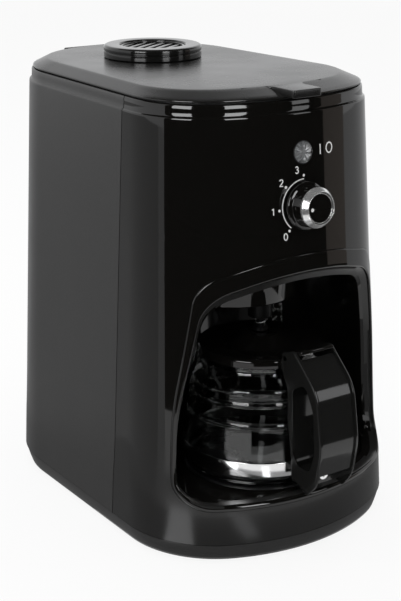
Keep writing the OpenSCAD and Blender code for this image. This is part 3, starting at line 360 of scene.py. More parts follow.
def holed_square(hole, n, rows):
    """Square from -1 to 1 round a hole: in each of n directions points are spread from the hole to the square."""
    t = 2 * pi * np.arange(n) / n
    edge = 1 / np.maximum(np.abs(np.cos(t)), np.abs(np.sin(t)))
    inner = by_angle(hole, (0, 0), t)
    r0 = np.hypot(inner[:, 0], inner[:, 1])
    r = r0 + (edge - r0) * np.linspace(0, 1, rows)[:, None]
    return r * np.cos(t), r * np.sin(t)


def square_columns(n):
    """Places along one edge of that square, from -1 to 1."""
    return np.tan(np.linspace(-pi / 4, pi / 4, n // 4 + 1))


def stroke(path, width, thick=0.14, closed=False):
    """Printed stroke on the front face: a flat band of that width along a path (x, z), laid on the face."""
    p = np.asarray(path, float)
    t = np.roll(p, -1, 0) - np.roll(p, 1, 0) if closed else np.gradient(p, axis=0)
    n = unit(t)[:, ::-1] * np.array([-1, 1]) * width / 2
    rows = [(p + n, -thick), (p - n, -thick), (p - n, 0.05), (p + n, 0.05)]
    grid = np.stack([np.column_stack([q[:, 0], face_depth(q[:, 0], q[:, 1], e), q[:, 1]]) for q, e in rows])
    return sheet(grid, True, True) if closed else bar(grid)


# Finishes

def nodes_of(name):
    """A new node material: itself, its nodes and links, its Principled shader and its Object coordinates."""
    m = bpy.data.materials.new(name)
    m.use_nodes = True
    n, l = m.node_tree.nodes, m.node_tree.links
    return m, n, l, n["Principled BSDF"], n.new("ShaderNodeTexCoord").outputs["Object"]


def noise(n, l, where, scale, detail=3.0, stretch=None):
    """Noise of about 1/scale metres, stretched by a Mapping node where one is given."""
    t = n.new("ShaderNodeTexNoise")
    t.inputs["Scale"].default_value = scale
    t.inputs["Detail"].default_value = detail
    if stretch:
        m = n.new("ShaderNodeMapping")
        m.inputs["Scale"].default_value = stretch
        l.new(where, m.inputs["Vector"])
        where = m.outputs["Vector"]
    l.new(where, t.inputs["Vector"])
    return t.outputs["Fac"]


def spread(n, l, value, low, high, start=0.3, end=0.7):
    """A field mapped from start..end to low..high."""
    r = n.new("ShaderNodeMapRange")
    for name, v in (("From Min", start), ("From Max", end), ("To Min", low), ("To Max", high)):
        r.inputs[name].default_value = v
    l.new(value, r.inputs["Value"])
    return r.outputs["Result"]


def tinted(n, l, value, low, high):
    """A field turned into a colour between low and high."""
    r = n.new("ShaderNodeValToRGB")
    r.color_ramp.elements[0].position, r.color_ramp.elements[1].position = 0.3, 0.7
    r.color_ramp.elements[0].color, r.color_ramp.elements[1].color = (*low, 1), (*high, 1)
    l.new(value, r.inputs["Fac"])
    return r.outputs["Color"]


def relief(n, l, shader, fields):
    """Bump of several fields, each (height, strength, depth in metres), on the shader's normal."""
    last = None
    for height, strength, depth in fields:
        b = n.new("ShaderNodeBump")
        b.inputs["Strength"].default_value = strength
        b.inputs["Distance"].default_value = depth
        l.new(height, b.inputs["Height"])
        if last:
            l.new(last, b.inputs["Normal"])
        last = b.outputs["Normal"]
    l.new(last, shader.inputs["Normal"])


def moulded(name, colour, rough, vary, grain=2600, depth=0.00002, sway=0.0, worn=None):
    """Moulded plastic: spark-eroded grain or slight sink waves, specks in the colour and uneven gloss.

    worn gives two heights and the roughness added at the first, which fades to none at the second."""
    m, n, l, s, at = nodes_of(name)
    c = np.array(colour[:])
    l.new(tinted(n, l, noise(n, l, at, 700, 4), c * 0.86, np.minimum(c * 1.16, 1)), s.inputs["Base Color"])
    dull = spread(n, l, noise(n, l, at, 26, 5), rough - vary, rough + vary)
    if worn:
        parts, total = n.new("ShaderNodeSeparateXYZ"), n.new("ShaderNodeMath")
        l.new(at, parts.inputs[0])
        l.new(dull, total.inputs[0])
        l.new(spread(n, l, parts.outputs["Z"], worn[2], 0.0, worn[0], worn[1]), total.inputs[1])
        dull = total.outputs[0]
    l.new(dull, s.inputs["Roughness"])
    fields = [(noise(n, l, at, grain, 2), 0.35, depth)]
    if sway:
        fields.append((noise(n, l, at, 9, 1), 0.5, sway))
    relief(n, l, s, fields)
    s.inputs["IOR"].default_value = 1.5
    return m


def metal(name, colour, rough, vary, stretch=None, depth=0.000004):
    """Metal: fine drawn lines or an even polish, with uneven gloss."""
    m, n, l, s, at = nodes_of(name)
    c = np.array(colour[:])
    l.new(tinted(n, l, noise(n, l, at, 90, 4), c * 0.94, np.minimum(c * 1.04, 1)), s.inputs["Base Color"])
    l.new(spread(n, l, noise(n, l, at, 300, 3, stretch), rough - vary, rough + vary), s.inputs["Roughness"])
    relief(n, l, s, [(noise(n, l, at, 900, 2, stretch), 0.3, depth)])
    s.inputs["Metallic"].default_value = 1.0
    return m


def clear(name, colour, rough, vary, ior, depth):
    """Clear glass or plastic: slight waves in the surface and a faint haze."""
    m, n, l, s, at = nodes_of(name)
    c = np.array(colour[:])
    l.new(tinted(n, l, noise(n, l, at, 30, 2), c * 0.985, np.minimum(c * 1.01, 1)), s.inputs["Base Color"])
    l.new(spread(n, l, noise(n, l, at, 60, 4), rough, rough + vary), s.inputs["Roughness"])
    relief(n, l, s, [(noise(n, l, at, 45, 1), 0.4, depth)])
    s.inputs["Transmission Weight"].default_value = 1.0
    s.inputs["IOR"].default_value = ior
    return m


FINISH = {}


def make_finishes(c):
    """All finishes of the coffee maker, by the record's slot or a name of their own."""
    gloss, handle = (0.045, 0.012, 3000, 0.000001, 0.00006), (0.012, 0.012, 0.0115)
    for name, *how in [
            ("satin_black", c.satin, 0.34, 0.03, 2200, 0.00003),
            ("gloss_black", c.gloss, *gloss),
            ("front_black", c.gloss, *gloss, (0.044, 0.078, 0.19)),
            ("lid_black", (0.012, 0.0118, 0.0115), 0.27, 0.03, 2600, 0.000004, 0.0, (0.2803, 0.2808, -0.18)),
            ("handle_black", handle, 0.10, 0.02, 3000, 0.000001, 0.00003),
            ("flange_black", handle, 0.2, 0.03, 3000, 0.000001, 0.00003),
            ("jamb_black", (0.016, 0.0157, 0.015), 0.3, 0.03, 2600, 0.000006),
            # Black of the drip valve and its guide: their black plastic, made near-black and weakly glossy as painted
            # shade under the basket
            ("dull_black", (0.003, 0.003, 0.003), 0.4, 0.06),
            ("inner_black", c.inner, 0.34, 0.06),
            ("plate_black", (0.012, 0.012, 0.013), 0.30, 0.08, 1500, 0.00002),
            ("rubber", (0.016, 0.016, 0.017), 0.72, 0.08, 1800, 0.00003),
            ("seal", (0.16, 0.035, 0.02), 0.5, 0.08, 1200, 0.00003),
            ("hose", (0.55, 0.54, 0.50), 0.42, 0.07, 900, 0.00002),
            ("tank", (0.42, 0.42, 0.41), 0.38, 0.06, 1200, 0.00002),
            ("board", (0.02, 0.10, 0.04), 0.42, 0.08, 800, 0.00002),
            ("parts", (0.03, 0.03, 0.05), 0.38, 0.08, 900, 0.00002),
            ("white_print", c.printing, 0.45, 0.05, 1800, 0.000008)]:
        FINISH[name] = moulded(name, *how)
    for name, *how in [("chrome", c.chrome, 0.05, 0.02),
                       ("band_steel", c.chrome, 0.13, 0.03, (4, 4, 30)),
                       ("ring_silver", c.chrome, 0.16, 0.03),
                       ("lens_silver", c.chrome, 0.22, 0.04),
                       ("steel", (0.56, 0.56, 0.55), 0.26, 0.06, (1, 8, 8)),
                       ("aluminium", (0.62, 0.62, 0.63), 0.38, 0.08, (8, 1, 8))]:
        FINISH[name] = metal(name, *how)
    FINISH["glass"] = clear("glass", c.glass, 0.0, 0.012, 1.47, 0.00012)
    FINISH["lens"] = clear("lens", (0.88, 0.90, 0.92), 0.05, 0.06, 1.49, 0.00003)
    # The valve's weak specular below is part of its painted shade
    for name, socket, value in [("dull_black", "Specular IOR Level", 0.15), ("lens_silver", "Metallic", 0.5),
                                ("flange_black", "Specular IOR Level", 0.15), ("ring_silver", "Metallic", 0.75)]:
        FINISH[name].node_tree.nodes["Principled BSDF"].inputs[socket].default_value = value


# Pieces

def face_away(mesh, point, way=1):
    """Turns all faces round where, by area, they look towards a point in millimetres, or with way -1 away from it."""
    n = len(mesh.polygons)
    centre, normal, area = np.empty(n * 3), np.empty(n * 3), np.empty(n)
    for name, values in (("center", centre), ("normal", normal), ("area", area)):
        mesh.polygons.foreach_get(name, values)
    off = centre.reshape(-1, 3) - np.array(point) * MM
    if ((off * normal.reshape(-1, 3)).sum(1) * area).sum() * way < 0:
        mesh.flip_normals()


def piece(name, parts, slot, body, nodes=(), crease=34.0, outward=None, finish=None):
    """One object from parts (points in millimetres, faces): merged, faced outwards, smooth up to the crease angle.

    An open sheet gives outward, a point behind it, and its faces turn away from that point."""
    faces, start = [], 0
    for points, quads in parts:
        quads = quads if isinstance(quads, list) else quads.tolist()
        faces += [[i + start for i in q] for q in quads]
        start += len(points)
    mesh = bpy.data.meshes.new(name)
    mesh.from_pydata((np.concatenate([part[0] for part in parts]) * MM).tolist(), [], faces)
    b = bmesh.new()
    b.from_mesh(mesh)
    bmesh.ops.remove_doubles(b, verts=b.verts, dist=0.004 * MM)
    bmesh.ops.recalc_face_normals(b, faces=b.faces)
    b.to_mesh(mesh)
    b.free()
    if outward is not None:
        face_away(mesh, outward)
    mesh.shade_smooth()
    mesh.set_sharp_from_angle(angle=radians(crease))
    mesh.materials.append(FINISH[finish or slot])
    obj = bpy.data.objects.new(name, mesh)
    bpy.context.scene.collection.objects.link(obj)
    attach(obj, body)
    if nodes:
        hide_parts(*nodes)
    return obj


def refinish(obj, finish, where):
    """Gives a second finish to the faces that where picks by their centres in millimetres."""
    mesh = obj.data
    centres = np.empty(len(mesh.polygons) * 3)
    mesh.polygons.foreach_get("center", centres)
    mesh.materials.append(FINISH[finish])
    mesh.polygons.foreach_set("material_index", where(centres.reshape(-1, 3) / MM).astype(np.int32))


def walled(obj, wall, edge=0):
    """Gives an open sheet its wall inwards, and rounds the rims."""
    s = obj.modifiers.new("wall", "SOLIDIFY")
    s.thickness, s.offset, s.use_even_offset = wall, -1.0, True
    if edge:
        b = obj.modifiers.new("rims", "BEVEL")
        b.width, b.segments, b.limit_method, b.angle_limit = edge, 3, "ANGLE", radians(62)
        b.harden_normals = True


def seam_turn(z, way, e=0.0):
    """The u of the seam between the shells, on the front (-1) or rear (1) side of its gap."""
    return side_turn(z, SEAM_Y + way * SEAM / 2, e)


def rows_to_rim(low, n):
    """Heights and insets, as columns, of n even rows from low to the collar and of the collar's own rows."""
    rows = [(z, 0.0) for z in np.linspace(low, COLLAR_ROWS[0][0], n)[:-1]] + COLLAR_ROWS
    return (np.array(v)[:, None] for v in zip(*rows))


def button_patch(edge):
    """Sheet on the front face from the button's round hole to a closed edge: row by row, each point goes a larger
    part of its straight way from the hole to the edge."""
    out = edge[:, [0, 2]] - [0, BUTTON_Z]
    way = np.linspace(0, 1, 7)[:, None, None]
    x, z = np.moveaxis(unit(out) * BUTTON_HOLE * (1 - way) + out * way + [0, BUTTON_Z], -1, 0)
    return sheet(shell_point(face_turn(x, z), z), False, True)


def front_sheet():
    """Front shell: below z 200 a holed square laid on the drafted outline round the bay's arch, above it rows up
    to the collar step and the rim, with a block of them spread round the button's hole. A point is the outline at u
    times the seam's u, at height z."""
    low, high, n = SKIRT_Z, 200.0, 320
    mid, half = (low + high) / 2, (high - low) / 2
    hole = evenly(round_path(grown(ARCH_OUT, 0.15), 16), 900)
    hole = np.column_stack([face_turn(*hole.T) / seam_turn(hole[:, 1], -1), (hole[:, 1] - mid) / half])
    a, b = holed_square(hole, n, 30)
    z = mid + half * b
    lower = sheet(shell_point(a * seam_turn(z, -1), z), False, True)
    z, e = rows_to_rim(high, 15)
    grid = shell_point(square_columns(n) * seam_turn(z, -1, e), z, e)
    below, above, middle = 7, 12, n // 8
    reach = int(np.argmax(grid[below, middle:, 0] > 1.7 * BUTTON_HOLE))
    left, right = middle - reach, middle + reach
    edge = [grid[below, left:right], grid[below:above, right], grid[above, right:left:-1], grid[above:below:-1, left]]
    beside = grid[below:above + 1]
    around = [grid[:below + 1], grid[above:], beside[:, :left + 1], beside[:, right:]]
    return [lower, button_patch(np.concatenate(edge))] + [sheet(g) for g in around]


def rear_sheet():
    """Rear shell: rows of the outline from seam to seam round the back, with a round hole for the cord gland."""
    low, high, n = SKIRT_Z, 52.0, 64
    mid, half = (low + high) / 2, (high - low) / 2
    t = np.linspace(0, 2 * pi, 200, endpoint=False)
    wide = float(shell_point(4.0, GLAND_Z)[0])
    hole = np.column_stack([GLAND_R * np.cos(t) / wide, (GLAND_Z + GLAND_R * np.sin(t) - mid) / half])
    a, b = holed_square(hole, n, 10)
    patch = sheet(shell_point(5 - a, mid + half * b), False, True)
    columns, k = square_columns(n), np.linspace(0, 1, 56)
    across = lambda start: start + (4 - start) * k
    z = (mid + half * columns)[:, None]
    right = across(seam_turn(z, 1))
    low_sides = [sheet(shell_point(u, z)) for u in (right, 10 - right[:, ::-1])]
    z, e = rows_to_rim(high, 20)
    right = across(seam_turn(z, 1, e))
    back = np.broadcast_to(5 + columns[1:-1], (len(z), len(columns) - 2))
    u = np.hstack([right, back, 10 - right[:, ::-1]])
    return [patch, *low_sides, sheet(shell_point(u, z, e))]


class COFFEE_OT_housing(bpy.types.Operator):
    """Satin rear shell with its hinge ears and gloss front shell, both drafted, with a stepped collar"""

    bl_idname = "coffee.housing"
    bl_label = "Housing shells"

    def execute(self, context):
        s = context.scene.coffee_sizes
        front = piece("front_shell", front_sheet(), "gloss_black", "housing", ("front_housing",), 40, (0, 40, 140),
                      finish="front_black")
        walled(front, s.wall, s.seam_edge)
        rear = piece("rear_shell", rear_sheet(), "satin_black", "housing", ("rear_housing",), 40, (0, 0, 140))
        walled(rear, s.wall, s.seam_edge)
        ear = round_path([(133.7, 269.6, 0.4), (140.85, 269.6, 0.4), (140.85, 283.65, 2.38), (136.1, 283.65, 2.38),
                          (136.1, 281.2, 0.3), (133.7, 281.2, 0.4)], 8)
        piece("hinge_ears", [prism(ear, 15.0, 22.0, "x", 0.4), prism(ear, -22.0, -15.0, "x", 0.4)], "satin_black",
              "housing")
        return {"FINISHED"}


def ring_rows(rows):
    """Rows round the whole outline, each (plan height, height, inset, front inset, back inset)."""
    counts = (28, 28, 14, 34, 7)
    half = np.concatenate([[0]] + [np.linspace(i, i + 1, n)[1:] for i, n in enumerate(counts)])
    u = np.concatenate([half, 10 - half[-2:0:-1]])
    plan, z, e, front, back = (np.array(v, float)[:, None] for v in zip(*rows))
    points = shell_point(u, plan, e, front, back)
    points[..., 2] = z
    return points


def pan_sheet():
    """Base pan: rows of the outline, each (height, inset), from the underside over the tapered side to the floor
    inside, and both floors filled by shrinking their rims to one point."""
    rows = [(1.5, 6.2), (1.5, 4.2), (1.6, 3.85), (1.9, 3.62), (6.5, 2.0), (11.5, 0.5), (11.9, 0.5), (12.1, 0.9),
            (12.1, 3.9), (4.0, 6.0), (4.0, 7.0)]
    tray = ring_rows([(z, z, e, e, e) for z, e in rows])
    inner = tray[[-1, 0]]
    k = np.linspace(0, 1, 9)[1:, None, None, None]
    flat = inner * (1 - k)
    flat[..., :2] += np.array([0.0, 8.0]) * k
    flat[..., 2] = inner[..., 2]
    return sheet(np.concatenate([flat[::-1, 1], tray, flat[:, 0]]), False, True)


class COFFEE_OT_base(bpy.types.Operator):
    """Tapered base pan under the skirt, with its four rubber feet"""

    bl_idname = "coffee.base"
    bl_label = "Base"

    def execute(self, context):
        piece("base_tray", [pan_sheet()], "satin_black", "housing", ("base_pan",), 40)
        foot = [(0, 0, 0), (6.6, 0, 0.5), (7.3, 0.5, 0.3), (7.9, 2.35, 0.3), (0, 2.35, 0)]
        feet = [turned(foot, 40, 3, (x, y)) for x, y in FEET]
        piece("feet", feet, "rubber", "housing", ("rubber_feet",))
        return {"FINISHED"}


def surround_ring(edge):
    """Bay surround: a closed section carried round the arch. Each row (place, inset, depth) lies on the outer arch
    (0), the inner arch (1) or the lip (2), or between two of them, at its own depth, so the crease, the face, the
    rounded edge and the slanted jamb follow."""
    a = np.linspace(0, pi / 2, 6)
    rows = [(0.0, 0, 9.6), (0.0, 0, 4.0)]
    rows += [(0.0, 0.55 * (1 - cos(t)), 0.05 - 0.55 * sin(t)) for t in a]
    rows += [(k, 0, -0.5) for k in (0.2, 0.4, 0.6, 0.8)]
    rows += [(1.0, -edge * (1 - sin(t)), -0.5 + edge * (1 - cos(t))) for t in a]
    rows += [(k, 0, -0.5 + edge + (k - 1) * 5.2) for k in (1.3, 1.65)] + [(2.0, 0, 6.5), (2.0, 0, 7.6), (2.0, 0, 9.8)]
    around = lambda corners: evenly(round_path(corners, 16), 720, 0.1)
    out = {d: around(grown(ARCH_OUT, -d)) for d in {r[1] for r in rows if r[1] >= 0}}
    inn = {d: around(grown(ARCH_IN, d)) for d in {-r[1] for r in rows if r[1] <= 0}}
    lip = around(ARCH_LIP)
    low, high = out[max(out)], inn[max(inn)]
    ring = []
    for k, d, e in rows:
        if k > 1:
            flat = inn[0] * (2 - k) + lip * (k - 1)
        else:
            flat = out[d] if k == 0 else inn[-d] if k == 1 else low * (1 - k) + high * k
        ring.append(np.column_stack([flat[:, 0], face_depth(flat[:, 0], flat[:, 1], e), flat[:, 1]]))
    return sheet(np.stack(ring), True, True)


def bay_wall_rows(z, e):
    """Plan of the bay's side and back walls at each height: a straight run from behind the lip to the side, the side,
    a round corner and the back, mirrored to the left."""
    z = np.asarray(z, float)[:, None]
    u_end = side_turn(z, BAY_BACK - BAY_BEND, e)
    x = np.interp(z, JAMB_Z, JAMB_X)
    k = np.linspace(0, 1, 12)[:, None]
    first = np.stack([x, face_depth(x, z, 9.4), z], -1) * (1 - k) + shell_point(2.0, z, e) * k
    side = shell_point(2 + (u_end - 2) * np.linspace(0, 1, 16)[1:], z, e)
    x, y = side[:, -1:, 0], side[:, -1:, 1]
    t = np.linspace(0, pi / 2, 14)[1:]
    x, y = x - BAY_BEND + BAY_BEND * np.cos(t), y + BAY_BEND * np.sin(t)
    bend = np.stack([x, y, np.broadcast_to(z, x.shape)], -1)
    last = bend[:, -1:]
    k = np.linspace(0, 1, 8)[1:, None]
    back = last * (1 - k) + last * np.array([0, 1, 1]) * k
    half = np.concatenate([first, side, bend, back], 1)
    return np.concatenate([half, half[:, -2::-1] * np.array([-1, 1, 1])], 1)


def ceiling_sheet():
    """Bay's ceiling: in each direction from the basket's axis a straight run from the walls to the basket's hole, 2 mm
    thick."""
    n, e = 240, LINER_IN - 0.5
    t = 2 * pi * np.arange(n) / n
    plan = bay_wall_rows([CEILING_Z], e)[0, :, :2]
    front = shell_point(np.linspace(-1.5, 1.5, 60), CEILING_Z, e)[..., :2]
    rim = by_angle(np.concatenate([plan, front[1:-1]]), (0, BASKET_Y), t)
    hole = np.column_stack([BASKET_R * np.cos(t), BASKET_Y + BASKET_R * np.sin(t)])
    rows = [(rim * (1 - k) + hole * k, z) for k, z in ((0, 0), (0.3, 0), (0.7, 0), (1, 0), (1, 2), (0, 2))]
    return sheet(np.stack([np.column_stack([p, np.full(n, CEILING_Z + z)]) for p, z in rows]), True, True)


def dull_jamb(c):
    """Picks the slanted jamb by its depth behind the face, and on the low left the edge before it too."""
    depth = c[:, 1] - face_depth(c[:, 0], c[:, 2])
    low_left = (c[:, 0] < -60) & (c[:, 0] > -80.6) & (c[:, 2] < 130)
    return (depth < 6.7) & (depth > np.where(low_left, -0.45, 0.7))


class COFFEE_OT_bay(bpy.types.Operator):
    """Arched surround, liner and ceiling of the carafe bay, with the warming plate in its deck"""

    bl_idname = "coffee.bay"
    bl_label = "Carafe bay"

    def execute(self, context):
        s = context.scene.coffee_sizes
        ring = piece("bay_frame", [surround_ring(s.jamb_edge / MM)], "gloss_black", "housing", ("bay_surround",), 46)
        refinish(ring, "jamb_black", dull_jamb)
        z = [38.25, 42, 48, 54, 60, 66, 80, 100, 120, 140, 160, 175, 179.9]
        wall = piece("bay_walls", [sheet(bay_wall_rows(z, LINER_IN))], "gloss_black", "housing", ("bay_liner",), 40)
        face_away(wall.data, (0, -40, 100), -1)
        liner_wall = 0.0018
        walled(wall, liner_wall)
        piece("bay_ceiling", [ceiling_sheet()], "gloss_black", "housing")
        z, r = PLATE_Z, PLATE_R
        plate = [(0, z - 2, 0), (r - 2, z - 2, 0.2), (r - 2, z - 3.5, 0.1), (r, z - 1.4, 0.2), (r, z - 0.7, 0.4),
                 (r - 0.9, z, 0.4), (r - 3, z, 0.4), (r - 4, z - 0.4, 0.4), (0, z - 0.4, 0)]
        piece("hot_plate", [turned(plate, 128, 4, (0, CARAFE_Y))], "plate_black", "housing", ("warming_plate",))
        return {"FINISHED"}


class COFFEE_OT_brew_parts(bpy.types.Operator):
    """Tapered well of the brew basket under the bay's ceiling, and the valve's guide, whose near-black, weakly glossy
    finish paints the shade under the basket
    """

    bl_idname = "coffee.brew_parts"
    bl_label = "Brewing parts"

    def execute(self, context):
        well = [(0, 186, 0), (38, 186, 0.4), (38, 146, 0.5), (40, 146, 0.9), (42.6, 182, 20), (44, 200, 20),
                (44, 264.2, 0.4), (47.5, 264.2, 0.4), (47.5, 265.6, 0.4), (42, 265.6, 0.4), (42, 188, 0.8), (0, 188, 0)]
        guide = [(0, 136.2, 0), (6.4, 136.2, 0.3), (7.8, 136.2, 0.6), (7.8, 187, 0.3), (0, 187, 0)]
        piece("basket_cup", [turned(well, 144, 6, (0, BASKET_Y))], "gloss_black", "housing", ("basket_well",))
        piece("valve_guide", [turned(guide, 64, 4, (0, CARAFE_Y))], "gloss_black", "housing", finish="dull_black")
        return {"FINISHED"}


def lid_sheets():
    """Lid: rows of the outline up its lip and its wide bevel, straight runs from there to the round filler hole, and
    below them a lining from the hole back to the lip."""
    c = COLLAR + 0.7
    lip = [(279.3, 3.0), (279.3, c + 0.35), (279.45, c + 0.08), (279.7, c), (280.1, c), (280.3, c + 0.1)]
    start, end = np.array([c + 0.35, c + 0.45, c + 0.35]), np.array([c + 8.3, c + 14.0, c + 7.8])
    z, rise = 280.5, LID_TOP - 280.5
    bevel = [(z + rise * k, *(start + (end - start) * k)) for k in (0, 0.25, 0.5, 0.75, 0.93)]
    bevel += [(LID_TOP - 0.08, *(end + 0.1)), (LID_TOP, *(end + 0.9))]
    rows = ring_rows([(RIM_Z, *r) for r in [(z, e, e, e) for z, e in lip] + bevel])
    rim = rows[-1]
    t = np.arctan2(rim[:, 1] - CAP_Y, rim[:, 0])
    hole = np.column_stack([FILLER_R * np.cos(t), CAP_Y + FILLER_R * np.sin(t)])
    k = np.linspace(0, 1, 14)[1:, None, None]
    flat = rim[:, :2] * (1 - k) + hole * k
    flat = np.concatenate([flat, np.full(flat.shape[:2] + (1,), LID_TOP)], -1)
    roof_z = LID_TOP - 2.4
    low = np.column_stack([hole, np.full(len(hole), roof_z)])
    k = np.linspace(0, 1, 10)[:, None, None]
    inside = ring_rows([(RIM_Z, roof_z, c + 9.3, c + 15, c + 8.8), (RIM_Z, 280.0, c + 2.4, c + 2.4, c + 2.4)])
    lining = np.concatenate([low * (1 - k) + inside[0] * k, inside[1:], rows[:1]])
    return [sheet(grid, False, True) for grid in (np.concatenate([rows, flat, low[None]]), lining)]


class COFFEE_OT_lid(bpy.types.Operator):
    """Flat satin lid with a wide bevel, a front tab, a round filler hole and its hinge knuckle"""

    bl_idname = "coffee.lid"
    bl_label = "Lid"

    def execute(self, context):
        root, front = -79.1, -103.35
        plan = round_path([(-30, root, 0.5), (-10.7, root, 9), (-10.7, front, 2), (10.7, front, 2), (10.7, root, 9),
                           (30, root, 0.5), (30, root + 9, 0.5), (-30, root + 9, 0.5)], 14)
        tab = prism(plan, 280.3, LID_TOP - 0.03, "z", 0.45)
        knuckle = round_path([(132.5, 279.35, 0.4), (138.5, 278.95, 1.0), (140.9, 279.0, 2.3), (140.9, 283.68, 2.38),
                              (136.1, 283.68, 2.38), (135.6, 281.9, 0.4), (132.5, 281.9, 0.4)], 8)
        barrel = prism(knuckle, -14.4, 14.4, "x", 0.4)
        piece("top_lid", lid_sheets() + [tab, barrel], "satin_black", "lid", ("lid",), 30, finish="lid_black")
        return {"FINISHED"}


def vent_slats(reach, height):
    """Seven slanted slats of the cap, each a chord of the circle of that reach. Its section is a rounded oblong: the
    cosine and the sine of a turn, both raised to a small power, times its half width and half height."""
    pitch, half_wide, half_tall, slant = 6.2, 1.7, 0.8, radians(35)
    a = np.linspace(0, 2 * pi, 20, endpoint=False)
    oblong = lambda v: np.sign(v) * np.abs(v) ** 0.35
    v = np.arange(-3, 4)[:, None, None] * pitch + half_wide * oblong(np.cos(a))
    u = np.linspace(-1, 1, 24)[:, None] * np.sqrt(np.maximum(reach ** 2 - v ** 2, 0.01))
    v, h = np.broadcast_to(v, u.shape), np.broadcast_to(height + half_tall * oblong(np.sin(a)), u.shape)
    slats = np.stack([u * cos(slant) - v * sin(slant), CAP_Y + u * sin(slant) + v * cos(slant), h], -1)
    return [tube(grid) for grid in slats]


class COFFEE_OT_vent_cap(bpy.types.Operator):
    """Round filler cap with a grooved side and slanted vent bars in its recess"""

    bl_idname = "coffee.vent_cap"
    bl_label = "Vent cap"

    def execute(self, context):
        r, z, t = CAP_R, LID_TOP + 0.3, LID_TOP + 8.4
        m = (z + t) / 2
        section = [(r - 9.5, 277.3, 0.3), (r - 7.5, 277.3, 0.3), (r - 7.5, z, 0.2), (r - 0.4, z, 0.2),
                   (r, z + 0.4, 0.4), (r, m - 0.3, 0.12), (r - 0.5, m - 0.3, 0.12), (r - 0.5, m + 0.3, 0.12),
                   (r, m + 0.3, 0.12), (r, t - 0.6, 1.6), (r - 1.6, t, 2.4), (r - 10, t, 0.7), (r - 10.8, t - 0.8, 0.5),
                   (r - 10.8, t - 2.6, 0.2), (r - 13, t - 2.6, 0.2), (r - 13, t - 4.6, 0.2), (r - 9.5, t - 4.6, 0.2)]
        piece("filler_cap", [turned(section, 144, 5, (0, CAP_Y))], "satin_black", "vent_cap", ("vent_cap",), 32,
              finish="handle_black")
        reach = r - 11.0
        parts = vent_slats(reach, t - 2.5)
        ring = [(reach - 1.8, t - 2.5, 0.3), (reach, t - 2.5, 0.3), (reach, t - 1.0, 0.3), (reach - 1.8, t - 1.0, 0.4)]
        parts.append(turned(ring, 96, 3, (0, CAP_Y)))
        piece("vent_bars", parts, "inner_black", "vent_cap", ("cap_grille",), 40, finish="handle_black")
        return {"FINISHED"}


def digit_paths(h):
    """Strokes of the plain digits 0 to 3, as open or closed paths (x, z) about their middle, h high."""
    t = np.linspace(0, 2 * pi, 40, endpoint=False)
    w = 0.3 * h
    zero = (np.column_stack([w * np.cos(t), 0.5 * h * np.sin(t)]), True)
    one = (np.array([(-0.2, 0.3), (-0.1, 0.38), (0.05, 0.5), (0.05, 0.2), (0.05, -0.2), (0.05, -0.5)]) * h, False)
    a = np.linspace(pi * 0.92, -pi * 0.22, 16)
    top = np.column_stack([0.27 * np.cos(a), 0.23 + 0.27 * np.sin(a)])
    two = (np.vstack([top, [(-0.1, -0.28), (-0.28, -0.5), (0.0, -0.5), (0.3, -0.5)]]) * h, False)
    a, b = np.linspace(pi * 0.9, -pi * 0.5, 14), np.linspace(pi * 0.5, -pi * 0.9, 16)
    up = np.column_stack([0.24 * np.cos(a), 0.26 + 0.24 * np.sin(a)])
    down = np.column_stack([0.27 * np.cos(b), -0.23 + 0.27 * np.sin(b)])
    three = (np.vstack([up, [(0.0, 0.03)], down]) * h, False)
    return [zero, one, two, three]


def facet_wave(p, facets):
    """Distance of points from the axis, and a triangle wave round it that runs 0 to 1 and back once for each facet."""
    turn = np.arctan2(p[:, 1], p[:, 0])
    return np.hypot(p[:, 0], p[:, 1]), np.abs((turn * facets / (2 * pi)) % 1 - 0.5) * 2


